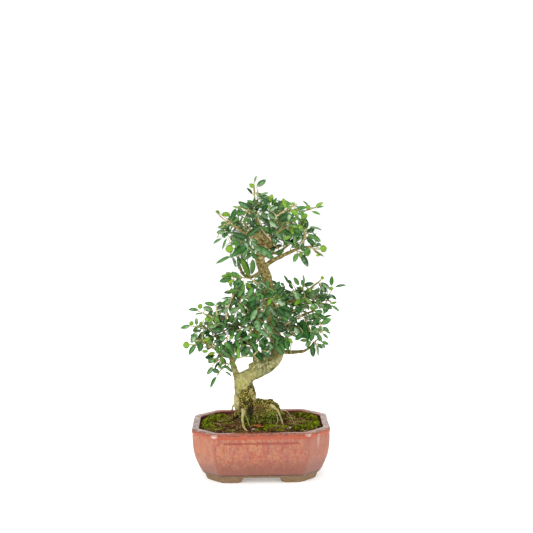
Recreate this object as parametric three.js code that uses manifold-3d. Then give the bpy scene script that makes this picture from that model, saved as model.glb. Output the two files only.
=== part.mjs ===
// An olive bonsai in its glazed pot.
// Millimetres, +Z up. The origin is on the ground under the pot's centre,
// with +X to the right and the pot's front face towards -Y.
import * as THREE from 'three';
import { mergeVertices } from 'three/addons/utils/BufferGeometryUtils.js';
import Module from 'manifold-3d';

const wasm = await Module();
wasm.setup();

// ---------------------------------------------------------------- driving dimensions

const GAP = 0.3; // clearance left between two pieces that touch
const SOCKET = 0.45; // how much wider a socket is than the faceted limb that sits in it

const POT = {
  length: 210,
  width: 160,
  height: 80.5,
  chamfer: 34, // leg of the cut corner at the rim
  taper: 0.42, // how fast the cut corner shrinks as the body narrows
  foot: 8, // height of the body above the ground
  floor: 14, // height of the inner floor
};

const DRAIN = { offset: 42, radius: 7, screen: 24, thickness: 1.2, holes: 2, hole: 7 };

const SOIL = { edge: 74, crown: 80, rings: [0, 14, 30, 50] };

const NODE_SPACING = 9.5; // distance between two pairs of leaves on a shoot
const LAST_NODE = 0.96; // where the last pair sits on a shoot, as a fraction of its length
const LEAF = { width: 0.4, fold: 1.1, widest: 0.48 };
const TWIG = { radius: 1.15, tip: 0.85 };

// ---------------------------------------------------------------- finishes

function finish(colour, roughness) {
  return new THREE.MeshStandardMaterial({ color: colour, roughness, metalness: 0 });
}

const FINISH = {
  glaze: finish(0xcd735a, 0.3),
  screen: finish(0x20201e, 0.6),
  soil: finish(0x3c2819, 0.95),
  bark: finish(0xa59b5f, 0.85),
  leaf: finish(0x2f6b3a, 0.45),
  moss: finish(0x5a9614, 0.95),
  dryLeaf: finish(0xb8632e, 0.7),
  chip: finish(0xc9bda2, 0.8),
  grit: finish(0xe8e6e0, 0.7),
};

// ---------------------------------------------------------------- solids

// A closed geometry as a solid, ready to be joined or cut.
function toSolid(geometry) {
  const bare = geometry.clone();
  bare.deleteAttribute('normal');
  bare.deleteAttribute('uv');
  const merged = mergeVertices(bare, 1e-4);
  const corners = merged.index.array;
  const faces = [];
  for (let i = 0; i < corners.length; i += 3) {
    const [a, b, c] = [corners[i], corners[i + 1], corners[i + 2]];
    if (a !== b && b !== c && c !== a) faces.push(a, b, c);
  }
  return new wasm.Manifold(new wasm.Mesh({
    numProp: 3,
    vertProperties: new Float32Array(merged.attributes.position.array),
    triVerts: new Uint32Array(faces),
  }));
}

function toGeometry(solid) {
  const mesh = solid.getMesh();
  const geometry = new THREE.BufferGeometry();
  geometry.setAttribute('position', new THREE.BufferAttribute(mesh.vertProperties, 3));
  geometry.setIndex(new THREE.BufferAttribute(mesh.triVerts, 1));
  geometry.computeVertexNormals();
  return geometry;
}

function join(solids) {
  return solids.reduce((whole, solid) => whole.add(solid));
}

// The largest connected body of a solid, without the crumbs that a cut leaves.
function largest(solid) {
  const bodies = solid.decompose();
  return bodies.reduce((best, body) => (body.volume() > best.volume() ? body : best));
}

// Moves every vertex of a geometry by a function of its place.
function reshape(geometry, move) {
  const position = geometry.attributes.position;
  const vertex = new THREE.Vector3();
  for (let i = 0; i < position.count; i += 1) {
    move(vertex.fromBufferAttribute(position, i), i);
    position.setXYZ(i, vertex.x, vertex.y, vertex.z);
  }
  return geometry;
}

function box(size, centre) {
  const geometry = new THREE.BoxGeometry(...size);
  geometry.translate(...centre);
  return toSolid(geometry);
}

function lump(radii, centre, sides = 10, rings = 6) {
  const geometry = new THREE.SphereGeometry(1, sides, rings);
  geometry.rotateX(Math.PI / 2);
  geometry.scale(...radii);
  geometry.translate(...centre);
  return toSolid(geometry);
}

// ---------------------------------------------------------------- pot

// The eight corners of the pot's outline, this far inside the rim's outer edge.
function outline(inset) {
  const x = POT.length / 2 - inset;
  const y = POT.width / 2 - inset;
  const cut = Math.max(POT.chamfer - POT.taper * inset, 6);
  return [
    [x - cut, -y], [x, cut - y], [x, y - cut], [x - cut, y],
    [cut - x, y], [-x, y - cut], [-x, cut - y], [cut - x, -y],
  ];
}

// A solid with the pot's outline at every height of a profile of [inset, height] rows.
// The first and last rows are closed on the axis.
function eightSided(profile) {
  const rows = [[null, profile[0][1]], ...profile, [null, profile.at(-1)[1]]];
  const lathe = rows.map(([inset, height]) => new THREE.Vector2(inset === null ? 0 : 1, height));
  const corners = rows.map(([inset]) => (inset === null ? null : outline(inset)));
  const geometry = new THREE.LatheGeometry(lathe, 8);
  return toSolid(reshape(geometry, (vertex, i) => {
    const row = i % rows.length;
    const side = Math.floor(i / rows.length) % 8;
    const [x, y] = corners[row] ? corners[row][side] : [0, 0];
    vertex.set(x, y, rows[row][1]);
  }));
}

// Outside of the body from its foot to the rolled rim, then down the inner wall.
const OUTSIDE = [
  [23, POT.foot], [17.6, 9.5], [14.4, 14], [10.4, 22], [7.2, 30], [4, 40], [2, 53],
  [1.1, 68], [1, 73.5], [0, 74.7], [0, 79], [1.5, POT.height],
];
const INSIDE = [
  [9, POT.height], [10.5, 79], [11, 70], [12, 56], [14.5, 38], [20, 24], [28, POT.floor],
];

// How far inside the rim's outline the outer wall is at a height.
function insetAt(height) {
  const above = OUTSIDE.findIndex(([, z]) => z >= height);
  const [low, high] = [OUTSIDE[above - 1], OUTSIDE[above]];
  return THREE.MathUtils.mapLinear(height, low[1], high[1], low[0], high[0]);
}

// Four bracket feet: a ring under the body with a gap cut through each side.
function potFeet() {
  const ring = eightSided([[22, 0], [21, 1], [18.5, 11]])
    .subtract(eightSided([[39, -1], [39, 12]]));
  const gapLength = 68;
  const gapWidth = 52;
  return ring
    .subtract(box([gapLength, POT.width, 16], [0, 0, 0]))
    .subtract(box([POT.length, gapWidth, 16], [0, 0, 0]));
}

// A shallow line pressed into each of the four faces, below the rim.
function panelGrooves() {
  const height = 65.5;
  const depth = 1;
  const x = POT.length / 2 - insetAt(height);
  const y = POT.width / 2 - insetAt(height);
  const alongX = 112;
  const alongY = 72;
  return join([
    box([alongX, 2 * depth, 2], [0, -y, height]),
    box([alongX, 2 * depth, 2], [0, y, height]),
    box([2 * depth, alongY, 2], [-x, 0, height]),
    box([2 * depth, alongY, 2], [x, 0, height]),
  ]);
}

function drainHole(x) {
  const geometry = new THREE.CylinderGeometry(DRAIN.radius, DRAIN.radius, 20, 16);
  geometry.rotateX(Math.PI / 2);
  geometry.translate(x, 0, POT.floor - 4);
  return toSolid(geometry);
}

function potSolid() {
  return eightSided([...OUTSIDE, ...INSIDE])
    .add(potFeet())
    .subtract(panelGrooves())
    .subtract(drainHole(-DRAIN.offset))
    .subtract(drainHole(DRAIN.offset));
}

// A square of plastic mesh that keeps the soil out of a drain hole.
function drainScreen(x) {
  const middle = POT.floor + GAP + DRAIN.thickness / 2;
  const pitch = DRAIN.screen / (DRAIN.holes + 0.5);
  const holes = [];
  for (let column = 0; column < DRAIN.holes; column += 1) {
    for (let row = 0; row < DRAIN.holes; row += 1) {
      const left = x + (column - (DRAIN.holes - 1) / 2) * pitch;
      const front = (row - (DRAIN.holes - 1) / 2) * pitch;
      holes.push(box([DRAIN.hole, DRAIN.hole, 2 * DRAIN.thickness], [left, front, middle]));
    }
  }
  const sheet = box([DRAIN.screen, DRAIN.screen, DRAIN.thickness], [x, 0, middle]);
  return sheet.subtract(join(holes));
}

// ---------------------------------------------------------------- wood

// Each limb is a list of [x, y, z, radius] along its middle.
const LIMBS = {
  stump: [[-21, -3, 62, 19], [-22, -4, 95, 19.5], [-24, -4, 115, 18], [-25, -4, 127, 15],
    [-27, -4, 138, 14.2], [-28, -4, 148, 12.5], [-31, -4, 157, 8.5]],
  bough: [[-35, -4, 142, 8.5], [-24, -3, 149, 10.8], [-10, -1, 155, 10.8], [2, 0, 160, 10.5],
    [14, 2, 167, 10.4], [23, 4, 177, 10.2], [27, 5, 189, 10.2], [26, 6, 203, 10], [21, 7, 222, 9.6],
    [18, 6, 241, 9], [16, 4, 261, 8.6], [15, 3, 280, 8.3], [13, 3, 296, 8], [9, 3, 310, 8],
    [4, 3, 324, 7.2], [2, 2, 336, 6.8], [6, 1, 347, 7.4], [13, 0, 357, 8.6]],
  left_low: [[-34, -4, 148, 5.4], [-38, -7, 160, 4.6], [-43, -10, 174, 4.2], [-46, -12, 183, 3],
    [-56, -16, 187, 2.5], [-65, -20, 195, 2.2], [-77, -22, 204, 1.9], [-90, -24, 211, 1.5]],
  left_rise: [[-42, -9, 172, 3.2], [-48, -6, 189, 2.7], [-58, 0, 197, 2.3], [-65, 6, 207, 2],
    [-70, 10, 219, 1.5]],
  inner: [[-5, -2, 160, 5], [-6.5, -8, 182, 4.4], [-9, -14, 202, 3.6], [-8, -18, 221, 3.2],
    [-3, -18, 238, 2.8], [-2, -14, 255, 2.3], [-4, -10, 268, 1.8]],
  left_mid: [[-8, -18, 220, 2.7], [-21, -22, 230, 2.4], [-36, -24, 237, 2.2], [-52, -24, 243, 2],
    [-68, -20, 245, 1.7], [-82, -18, 250, 1.4]],
  left_top: [[-33, -24, 236, 2.1], [-44, -26, 245, 2], [-50, -24, 256, 1.8], [-44, -22, 269, 1.6],
    [-37, -20, 281, 1.4]],
  left_far: [[-48, -24, 241, 2.1], [-60, -10, 235, 1.9], [-73, -4, 230, 1.6], [-85, -2, 227, 1.3]],
  left_back: [[18, 6, 241, 3.4], [4, 26, 247, 2.9], [-15, 44, 255, 2.3], [-34, 56, 257, 1.6]],
  right_low: [[28, 5, 190, 3.2], [44, 2, 188, 2.7], [57, 0, 189, 2.4], [68, -2, 191, 2.2],
    [77, -4, 196, 1.9], [83, -6, 204, 1.5]],
  right_mid: [[22, 7, 217, 3.6], [34, 0, 229, 3], [46, -8, 236, 2.6], [57, -12, 243, 2.2],
    [69, -14, 249, 1.9], [82, -12, 253, 1.5]],
  right_top: [[17, 6, 247, 4], [30, 2, 258, 3.2], [44, -2, 266, 2.7], [59, -6, 268, 2.4],
    [74, -8, 267, 2.1], [90, -8, 265, 1.8], [101, -8, 263, 1.5]],
  right_up: [[59, -6, 268, 2.1], [70, 0, 277, 1.8], [81, 6, 287, 1.5], [90, 10, 294, 1.3]],
  right_back: [[21, 7, 228, 3.4], [34, 28, 237, 2.8], [49, 46, 244, 2.2], [65, 58, 249, 1.6]],
  front_mid: [[18, 5, 250, 3], [13, -16, 262, 2.5], [6, -34, 271, 2], [3, -48, 279, 1.5]],
  back_mid: [[16, 4, 269, 3], [14, 24, 276, 2.5], [11, 44, 280, 2], [11, 60, 285, 1.5]],
  fork: [[6, 3, 315, 3.2], [-5, 0, 308, 2.8], [-16, -4, 305, 2.4], [-24, -8, 310, 2.2],
    [-29, -12, 321, 2], [-32, -16, 334, 1.7]],
  crown_left: [[11, 0, 355, 4.8], [-1, -4, 364, 4.4], [-14, -8, 371, 3.6], [-26, -10, 378, 2.8],
    [-38, -12, 384, 2]],
  crown_right: [[4, 3, 321, 3.2], [15, 1, 328, 2.6], [27, -2, 335, 2.3], [41, -6, 342, 2.1],
    [55, -9, 348, 1.9], [68, -12, 352, 1.6], [82, -14, 352, 1.3]],
  crown_right_inner: [[4, 2, 336, 2.6], [20, 4, 340, 2.2], [34, 6, 345, 1.9], [45, 8, 353, 1.7],
    [53, 10, 361, 1.4]],
  apex: [[17, 0, 360, 2.6], [9, -4, 374, 2.2], [3, -7, 386, 2], [0, -8, 400, 1.8], [-4, -8, 414, 1.5],
    [-6, -8, 429, 1.2]],
  crown_top: [[20, 0, 358, 3], [28, -2, 375, 2.4], [34, -4, 389, 2], [40, -6, 401, 1.7],
    [49, -8, 409, 1.4]],
  crown_back: [[15, 0, 357, 3.2], [19, 18, 371, 2.6], [23, 36, 380, 2.1], [23, 50, 391, 1.5]],
  crown_back_left: [[6, 0, 357, 3], [-6, 18, 371, 2.4], [-17, 34, 379, 2], [-23, 46, 388, 1.5]],
  crown_front: [[18, 0, 358, 3], [27, -18, 370, 2.4], [33, -34, 378, 1.9], [37, -46, 386, 1.5]],
};

const ROOTS = {
  front: [[-27, -12, 110.5, 4.6], [-28, -20, 99.5, 3.8], [-28, -25, 90.5, 3.2], [-27, -31, 82.5, 2.7],
    [-25, -42, 79.5, 2.2], [-20, -53, 78, 1.6]],
  left: [[-38, -5, 110.5, 2], [-43.5, -6, 104.5, 1.6], [-44.5, -8, 92.5, 1.4], [-43, -10, 74.5, 1.4]],
  right: [[20, -10, 108.5, 3.2], [28, -13, 100.5, 2.8], [32, -15, 90.5, 2.6], [35, -18, 78.5, 2.2],
    [40, -22, 70.5, 1.8]],
  right_back: [[22, 6, 100.5, 4.5], [34, 16, 86.5, 3.6], [46, 26, 77.5, 2.4], [58, 34, 71.5, 1.6]],
  back: [[-14, 10, 98.5, 6], [-14, 24, 86.5, 4.6], [-10, 38, 77.5, 3], [-4, 50, 71.5, 2]],
  left_back: [[-34, 4, 94.5, 5], [-46, 14, 82.5, 3.8], [-58, 24, 75.5, 2.4], [-68, 30, 70.5, 1.6]],
};

// Swellings of the wood: [radii], [centre].
const SWELLINGS = [
  [[22, 19, 31], [3, -2, 87]], // root mound beside the trunk
  [[18, 17, 26], [16, 0, 86]],
  [[11.5, 10, 10.5], [11, 0, 356]], // callus where the leader was cut
  [[5.5, 5, 6], [-11, -6, 165]], // stub at the bend of the trunk
];

// A tapered limb: a cylinder laid along a smooth curve, this much fatter and longer than the limb.
function limb(points, sides, steps, extra = 0) {
  const curve = new THREE.CatmullRomCurve3(points.map(([x, y, z]) => new THREE.Vector3(x, y, z)));
  const frames = curve.computeFrenetFrames(steps, false);
  const geometry = new THREE.CylinderGeometry(1, 1, steps, sides, steps);
  return toSolid(reshape(geometry, (vertex) => {
    const step = THREE.MathUtils.clamp(Math.round(vertex.y + steps / 2), 0, steps);
    const along = step / steps;
    const point = curve.getPointAt(along);
    const radius = radiusAt(points, curve, along) + extra;
    point.addScaledVector(frames.binormals[step], vertex.x * radius);
    point.addScaledVector(frames.normals[step], vertex.z * radius);
    if (step === 0) point.addScaledVector(frames.tangents[0], -extra);
    if (step === steps) point.addScaledVector(frames.tangents[steps], extra);
    vertex.copy(point);
  }));
}

// The radius of a limb at a fraction of its length.
function radiusAt(points, curve, along) {
  const place = curve.getUtoTmapping(along) * (points.length - 1);
  const index = Math.min(Math.floor(place), points.length - 2);
  return THREE.MathUtils.lerp(points[index][3], points[index + 1][3], place - index);
}

function limbSolid(name, extra = 0) {
  const points = LIMBS[name];
  const thick = name === 'stump' || name === 'bough';
  const sides = thick ? 10 : 4;
  const steps = name === 'bough' ? 22 : points.length - 1;
  return limb(points, sides, steps, extra);
}

function rootSolids(extra = 0) {
  const roots = Object.values(ROOTS).map((points) => limb(points, 5, points.length - 1, extra));
  const mounds = SWELLINGS.map(([radii, centre]) => lump(radii.map((r) => r + extra), centre));
  return join([...roots, ...mounds]);
}

// The whole woody plant, grown as one piece.
function treeSolid(extra = 0) {
  const limbs = Object.keys(LIMBS).map((name) => limbSolid(name, extra));
  return join([...limbs, rootSolids(extra)]);
}

// ---------------------------------------------------------------- leafy shoots

// Each spray grows from a limb at a fraction of its length and ends in one or more shoots.
// The first shoot is the leader, and the others branch from it.
const SPRAYS = [
  { limb: 'apex', at: 1, leaf: 17, tips: [[-7, -8, 449], [6, -14, 432]] },
  { limb: 'apex', at: 0.6, leaf: 18, tips: [[-18, -12, 420], [0, -26, 419], [-13, -34, 404]] },
  { limb: 'crown_top', at: 0.5, leaf: 18, tips: [[15, -6, 418], [22, 2, 412], [27, -30, 405]] },
  { limb: 'crown_top', at: 0.8, leaf: 17, tips: [[84, -18, 411], [64, -14, 406]] },
  { limb: 'crown_top', at: 1, leaf: 17, tips: [[56, -8, 418], [39, -4, 417]] },
  { limb: 'crown_left', at: 0.75, leaf: 18, tips: [[-38, -8, 403], [-24, -28, 398]] },
  { limb: 'crown_left', at: 1, leaf: 17, tips: [[-61, -14, 404], [-58, -20, 384], [-63, -26, 367]] },
  { limb: 'crown_left', at: 0.5, leaf: 27, tips: [[-29, -48, 357], [-12, -58, 354], [-50, -32, 356]] },
  { limb: 'fork', at: 1, leaf: 21, tips: [[-41, -26, 345], [-20, -22, 346]] },
  { limb: 'crown_front', at: 0.9, leaf: 18,
    tips: [[39, -68, 390], [24, -62, 394], [36, -60, 368], [52, -56, 378]] },
  { limb: 'crown_right_inner', at: 1, leaf: 18, tips: [[58, 8, 374], [69, 2, 383], [38, 24, 374]] },
  { limb: 'crown_right_inner', at: 0.7, leaf: 18, tips: [[50, -14, 367], [24, -16, 348]] },
  { limb: 'crown_right', at: 0.72, leaf: 18, tips: [[60, -22, 338], [74, -24, 338]] },
  { limb: 'crown_right', at: 0.85, leaf: 18, tips: [[65, -22, 391], [73, -18, 374]] },
  { limb: 'crown_right', at: 1, leaf: 16, tips: [[95, -18, 348], [86, -12, 366]] },
  { limb: 'crown_back', at: 1, leaf: 18, tips: [[28, 62, 409], [8, 64, 408]] },
  { limb: 'crown_back', at: 0.65, leaf: 18, tips: [[50, 54, 392], [62, 46, 376], [28, 60, 374]] },
  { limb: 'crown_back_left', at: 1, leaf: 18, tips: [[-14, 58, 407], [-38, 52, 401]] },
  { limb: 'crown_back_left', at: 0.65, leaf: 18, tips: [[-38, 50, 382], [-42, 42, 362], [-8, 58, 372]] },
  { limb: 'left_low', at: 0.32, leaf: 17, tips: [[-52, -22, 168], [-36, -30, 196]] },
  { limb: 'left_low', at: 0.56, leaf: 19, tips: [[-66, -24, 158], [-76, -32, 172]] },
  { limb: 'left_low', at: 0.78, leaf: 15, tips: [[-83, -32, 195], [-99, -12, 198]] },
  { limb: 'left_low', at: 1, leaf: 17, tips: [[-107, -26, 210], [-94, -34, 221]] },
  { limb: 'left_rise', at: 0.85, leaf: 18,
    tips: [[-80, 0, 214], [-82, 18, 228], [-52, 16, 216], [-62, 20, 236]] },
  { limb: 'left_far', at: 1, leaf: 16, tips: [[-106, -4, 230], [-92, 6, 237]] },
  { limb: 'left_mid', at: 0.4, leaf: 20, tips: [[-36, -50, 230], [-50, -42, 219]] },
  { limb: 'left_mid', at: 0.75, leaf: 18, tips: [[-66, -42, 238], [-72, -30, 258]] },
  { limb: 'left_mid', at: 1, leaf: 16, tips: [[-98, -18, 257], [-82, -26, 264]] },
  { limb: 'left_top', at: 0.55, leaf: 18, tips: [[-63, -26, 274], [-58, -38, 261]] },
  { limb: 'left_top', at: 0.9, leaf: 20,
    tips: [[-40, -20, 306], [-27, -28, 298], [-50, -22, 285], [-24, -40, 281]] },
  { limb: 'left_back', at: 0.9, leaf: 18,
    tips: [[-50, 66, 262], [-34, 60, 278], [-25, 62, 234], [-12, 60, 268]] },
  { limb: 'inner', at: 0.42, leaf: 21, tips: [[-26, -44, 205], [-4, -48, 199]] },
  { limb: 'inner', at: 0.75, leaf: 22, tips: [[-22, -52, 255], [-6, -58, 250]] },
  { limb: 'inner', at: 1, leaf: 20, tips: [[-12, -18, 291], [2, -30, 292]] },
  { limb: 'front_mid', at: 0.85, leaf: 21,
    tips: [[12, -62, 295], [-4, -66, 284], [24, -58, 270], [4, -64, 262]] },
  { limb: 'back_mid', at: 1, leaf: 18, tips: [[28, 74, 286], [2, 72, 292], [14, 70, 262]] },
  { limb: 'right_top', at: 0.33, leaf: 20, tips: [[26, -16, 296], [36, -34, 288]] },
  { limb: 'right_top', at: 0.58, leaf: 19, tips: [[50, -10, 295], [43, -38, 283], [68, -22, 293]] },
  { limb: 'right_top', at: 0.78, leaf: 19, tips: [[92, -26, 279], [60, -44, 277], [90, -32, 260]] },
  { limb: 'right_top', at: 1, leaf: 16, tips: [[111, -10, 285], [115, -10, 264]] },
  { limb: 'right_up', at: 1, leaf: 15, tips: [[97, 12, 300], [96, 18, 284]] },
  { limb: 'right_mid', at: 0.45, leaf: 21, tips: [[36, -34, 212], [50, -28, 222], [60, -42, 232]] },
  { limb: 'right_mid', at: 0.8, leaf: 21, tips: [[74, -36, 226], [98, -18, 222], [105, -18, 240]] },
  { limb: 'right_low', at: 1, leaf: 17, tips: [[94, -10, 212], [86, -10, 190]] },
  { limb: 'right_back', at: 0.9, leaf: 18,
    tips: [[80, 66, 262], [76, 64, 236], [50, 60, 226], [52, 60, 264]] },
];

// A small repeatable random generator.
function randomFrom(seed) {
  let state = seed;
  return () => {
    state = (state + 0x6d2b79f5) >>> 0;
    let mixed = Math.imul(state ^ (state >>> 15), state | 1);
    mixed ^= mixed + Math.imul(mixed ^ (mixed >>> 7), mixed | 61);
    return ((mixed ^ (mixed >>> 14)) >>> 0) / 4294967296;
  };
}

const UP = new THREE.Vector3(0, 0, 1);

// A direction square to a shoot, turned about it; zero is level.
function across(along, turn) {
  const level = new THREE.Vector3().crossVectors(along, UP);
  if (level.lengthSq() < 0.01) level.set(1, 0, 0);
  level.normalize();
  const raised = new THREE.Vector3().crossVectors(level, along);
  return level.multiplyScalar(Math.cos(turn)).addScaledVector(raised, Math.sin(turn));
}

// The curve of a shoot, bowed a little upwards or sideways.
function shootCurve(from, to, random) {
  const span = new THREE.Vector3().subVectors(to, from);
  const bow = across(span.clone().normalize(), Math.PI * (0.2 + 0.6 * random()));
  const middle = new THREE.Vector3().lerpVectors(from, to, 0.5);
  middle.addScaledVector(bow, span.length() * 0.12);
  return new THREE.QuadraticBezierCurve3(from, middle, to);
}

// The shoots of a spray: the leader from the limb, the others from along the leader.
function shootsOf(spray, random) {
  const points = LIMBS[spray.limb].map(([x, y, z]) => new THREE.Vector3(x, y, z));
  const root = new THREE.CatmullRomCurve3(points).getPointAt(spray.at);
  const tips = spray.tips.map((tip) => new THREE.Vector3(...tip));
  const leader = shootCurve(root, tips[0], random);
  const others = tips.slice(1).map((tip, k) => {
    const start = leader.getPointAt(0.22 + 0.16 * k);
    return shootCurve(start, tip, random);
  });
  return [leader, ...others];
}

// The leaves of a shoot: opposite pairs, each pair turned a quarter from the last.
function leavesOf(shoot, size, random) {
  const leaves = [];
  const nodes = Math.max(2, Math.round(shoot.getLength() / NODE_SPACING));
  let turn = 0.8 * (random() - 0.5);
  for (let node = 1; node <= nodes; node += 1) {
    const t = LAST_NODE * node / nodes;
    const base = shoot.getPointAt(t);
    const along = shoot.getTangentAt(t);
    const side = across(along, turn);
    const outward = new THREE.Vector3(base.x - 10, base.y, 0).normalize();
    for (const sign of [-1, 1]) {
      const spread = THREE.MathUtils.lerp(1.15, 0.6, t) + 0.5 * (random() - 0.5);
      const direction = along.clone().multiplyScalar(Math.cos(spread));
      direction.addScaledVector(side, sign * Math.sin(spread));
      direction.addScaledVector(UP, 0.12).normalize();
      const face = UP.clone().multiplyScalar(0.7).addScaledVector(outward, 0.55);
      face.addScaledVector(across(direction, 0), 1.1 * (random() - 0.5));
      const length = size * (0.68 + 0.5 * random()) * (node === nodes ? 0.85 : 1);
      leaves.push({ base, direction, face, length, node: nodes - node });
    }
    turn += Math.PI / 2 + 0.7 * (random() - 0.5);
  }
  return leaves;
}

// A leaf blade: a thin solid, folded along its midrib and widest just short of its middle.
function leafSolid({ base, direction, face, length }) {
  const width = new THREE.Vector3().crossVectors(direction, face).normalize();
  const normal = new THREE.Vector3().crossVectors(width, direction);
  const half = length * LEAF.width / 2;
  const geometry = reshape(new THREE.TetrahedronGeometry(1), (vertex) => {
    const onMidrib = vertex.z > 0;
    if (onMidrib) vertex.set(0, vertex.x > 0 ? length : 0, 0);
    else vertex.set(vertex.x < 0 ? half : -half, LEAF.widest * length, LEAF.fold);
  });
  geometry.applyMatrix4(new THREE.Matrix4().makeBasis(width, direction, normal));
  geometry.translate(base.x, base.y, base.z);
  return toSolid(geometry);
}

function twigSolid(curve) {
  const steps = Math.max(2, Math.round(curve.getLength() / 14));
  const points = [];
  for (let step = 0; step <= steps; step += 1) {
    const { x, y, z } = curve.getPointAt(step / steps);
    points.push([x, y, z, THREE.MathUtils.lerp(TWIG.radius, TWIG.tip, step / steps)]);
  }
  return limb(points, 3, steps);
}

// Two solids nearer to each other than the clearance.
function near(solid, other) {
  const a = solid.boundingBox();
  const b = other.boundingBox();
  for (let axis = 0; axis < 3; axis += 1) {
    if (a.min[axis] > b.max[axis] + GAP || b.min[axis] > a.max[axis] + GAP) return false;
  }
  return solid.minGap(other, 1) < GAP;
}

// All sprays, each one twig system with its leaves as one solid. Counted from the tip, every
// second pair of leaves is made, and a leaf that would rub against the wood or another spray isn't.
function spraySolids(tree) {
  const socket = treeSolid(SOCKET);
  const grown = SPRAYS.map((spray, index) => {
    const random = randomFrom(101 + 17 * index);
    const shoots = shootsOf(spray, random);
    const leaves = shoots.flatMap((shoot) => leavesOf(shoot, spray.leaf, random));
    const twigs = largest(join(shoots.map(twigSolid)).subtract(socket));
    const made = leaves.filter((leaf) => leaf.node % 2 === 0);
    return { name: spray.limb, twigs, leaves: made.map(leafSolid), kept: [] };
  });
  for (const spray of grown) {
    const others = grown.filter((other) => other !== spray);
    for (const leaf of spray.leaves) {
      const rubs = near(leaf, tree)
        || others.some((other) => near(leaf, other.twigs) || other.kept.some((kept) => near(leaf, kept)));
      if (!rubs) spray.kept.push(leaf);
    }
  }
  return grown.map(({ name, twigs, kept }) => ({ name, solid: largest(join([twigs, ...kept])) }));
}

// ---------------------------------------------------------------- soil and what lies on it

// Height of the soil's surface: a low mound that rises towards the trunk.
function soilHeight(x, y) {
  const reach = Math.hypot(x / (POT.length / 2), y / (POT.width / 2));
  return SOIL.edge + (SOIL.crown - SOIL.edge) * Math.cos(Math.min(reach, 1) * Math.PI / 2);
}

// A block that fills the pot, with a mounded top; raised by an amount for cutting.
function soilBlock(raised = 0) {
  const walls = INSIDE.filter(([, height]) => height < SOIL.edge).reverse();
  const sides = walls.map(([inset, height]) => [inset + 2 * GAP, height + GAP]);
  const edge = sides.at(-1)[0];
  const rings = SOIL.rings.map((step) => [edge + step, SOIL.edge]);
  const mesh = toGeometry(eightSided([...sides, ...rings]));
  return toSolid(reshape(mesh, (vertex) => {
    if (vertex.z === SOIL.edge) vertex.z = soilHeight(vertex.x, vertex.y) + raised;
  }));
}

function soilSolid(wood) {
  const pocket = DRAIN.screen + 2 * GAP;
  const depth = DRAIN.thickness + 2 * GAP;
  const screens = [-DRAIN.offset, DRAIN.offset].map(
    (x) => box([pocket, pocket, 2 * depth], [x, 0, POT.floor + GAP]),
  );
  return largest(soilBlock().subtract(wood).subtract(join(screens)));
}

// Moss cushions: each a group of low domes, [x, y, radius, height].
const MOSS = {
  moss_left_rim: [[-80, -20, 11, 4], [-80, -4, 12, 5], [-80, 12, 12, 6], [-74, 28, 12, 8], [-62, 40, 11, 6]],
  moss_front_right: [[56, -38, 11, 6], [70, -32, 11, 6], [80, -18, 11, 6], [84, -4, 8, 5]],
  moss_front: [[-1, -44, 6, 4], [8, -45, 5, 3]],
  moss_back_right: [[58, 46, 11, 6], [72, 38, 12, 8], [82, 24, 10, 6]],
  moss_trunk: [[-19, -25, 5, 6]],
};

function mossSolid(domes, soilRaised, wood) {
  const cushion = join(domes.map(([x, y, radius, height]) => {
    const z = soilHeight(x, y);
    return lump([radius, radius * 0.85, height], [x, y, z], 8, 6);
  }));
  return largest(cushion.subtract(soilRaised).subtract(wood));
}

// Small things lying on the soil: a flat lens of [length, width, thickness], turned about Z.
// The faceted soil lies a little under its smooth surface, so they start lower and are cut to fit.
const SEAT = 1.4;
function lyingSolid([length, width, thickness], [x, y], turn, cutters) {
  const geometry = new THREE.SphereGeometry(0.5, 6, 4);
  geometry.scale(length, width, thickness);
  geometry.rotateZ(turn);
  geometry.translate(x, y, soilHeight(x, y) + thickness / 2 - SEAT);
  return largest(cutters.reduce((solid, cutter) => solid.subtract(cutter), toSolid(geometry)));
}

// ---------------------------------------------------------------- assembly

const bonsai = new THREE.Group();

function place(name, solid, material) {
  const mesh = new THREE.Mesh(toGeometry(solid), material);
  mesh.name = name;
  bonsai.add(mesh);
}

const tree = treeSolid();
const woodSocket = rootSolids(SOCKET).add(limbSolid('stump', SOCKET));
const soilRaised = soilBlock(GAP);

place('pot', potSolid(), FINISH.glaze);
place('drain_screen_left', drainScreen(-DRAIN.offset), FINISH.screen);
place('drain_screen_right', drainScreen(DRAIN.offset), FINISH.screen);
place('soil', soilSolid(woodSocket), FINISH.soil);
place('tree', tree, FINISH.bark);
for (const [name, domes] of Object.entries(MOSS)) {
  place(name, mossSolid(domes, soilRaised, woodSocket), FINISH.moss);
}
place('fallen_leaf', lyingSolid([22, 6, 2], [-5, -32], -0.6, [soilRaised, woodSocket]), FINISH.dryLeaf);
place('bark_chip', lyingSolid([9, 4, 3], [-11, -42], 0.3, [soilRaised, woodSocket]), FINISH.chip);
place('grit_grain', lyingSolid([4, 4, 4], [44, -36], 0, [soilRaised, woodSocket]), FINISH.grit);

const counts = {};
for (const { name, solid } of spraySolids(tree)) {
  counts[name] = (counts[name] ?? 0) + 1;
  place(`spray_${name}_${counts[name]}`, solid, FINISH.leaf);
}

export default bonsai;
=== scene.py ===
"""The looks of an olive bonsai in its glazed pot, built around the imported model.

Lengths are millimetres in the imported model's frame. They become metres when a piece is made.
"""
import math
import random

import bpy
import numpy as np
from mathutils import Matrix, Vector, noise


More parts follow.
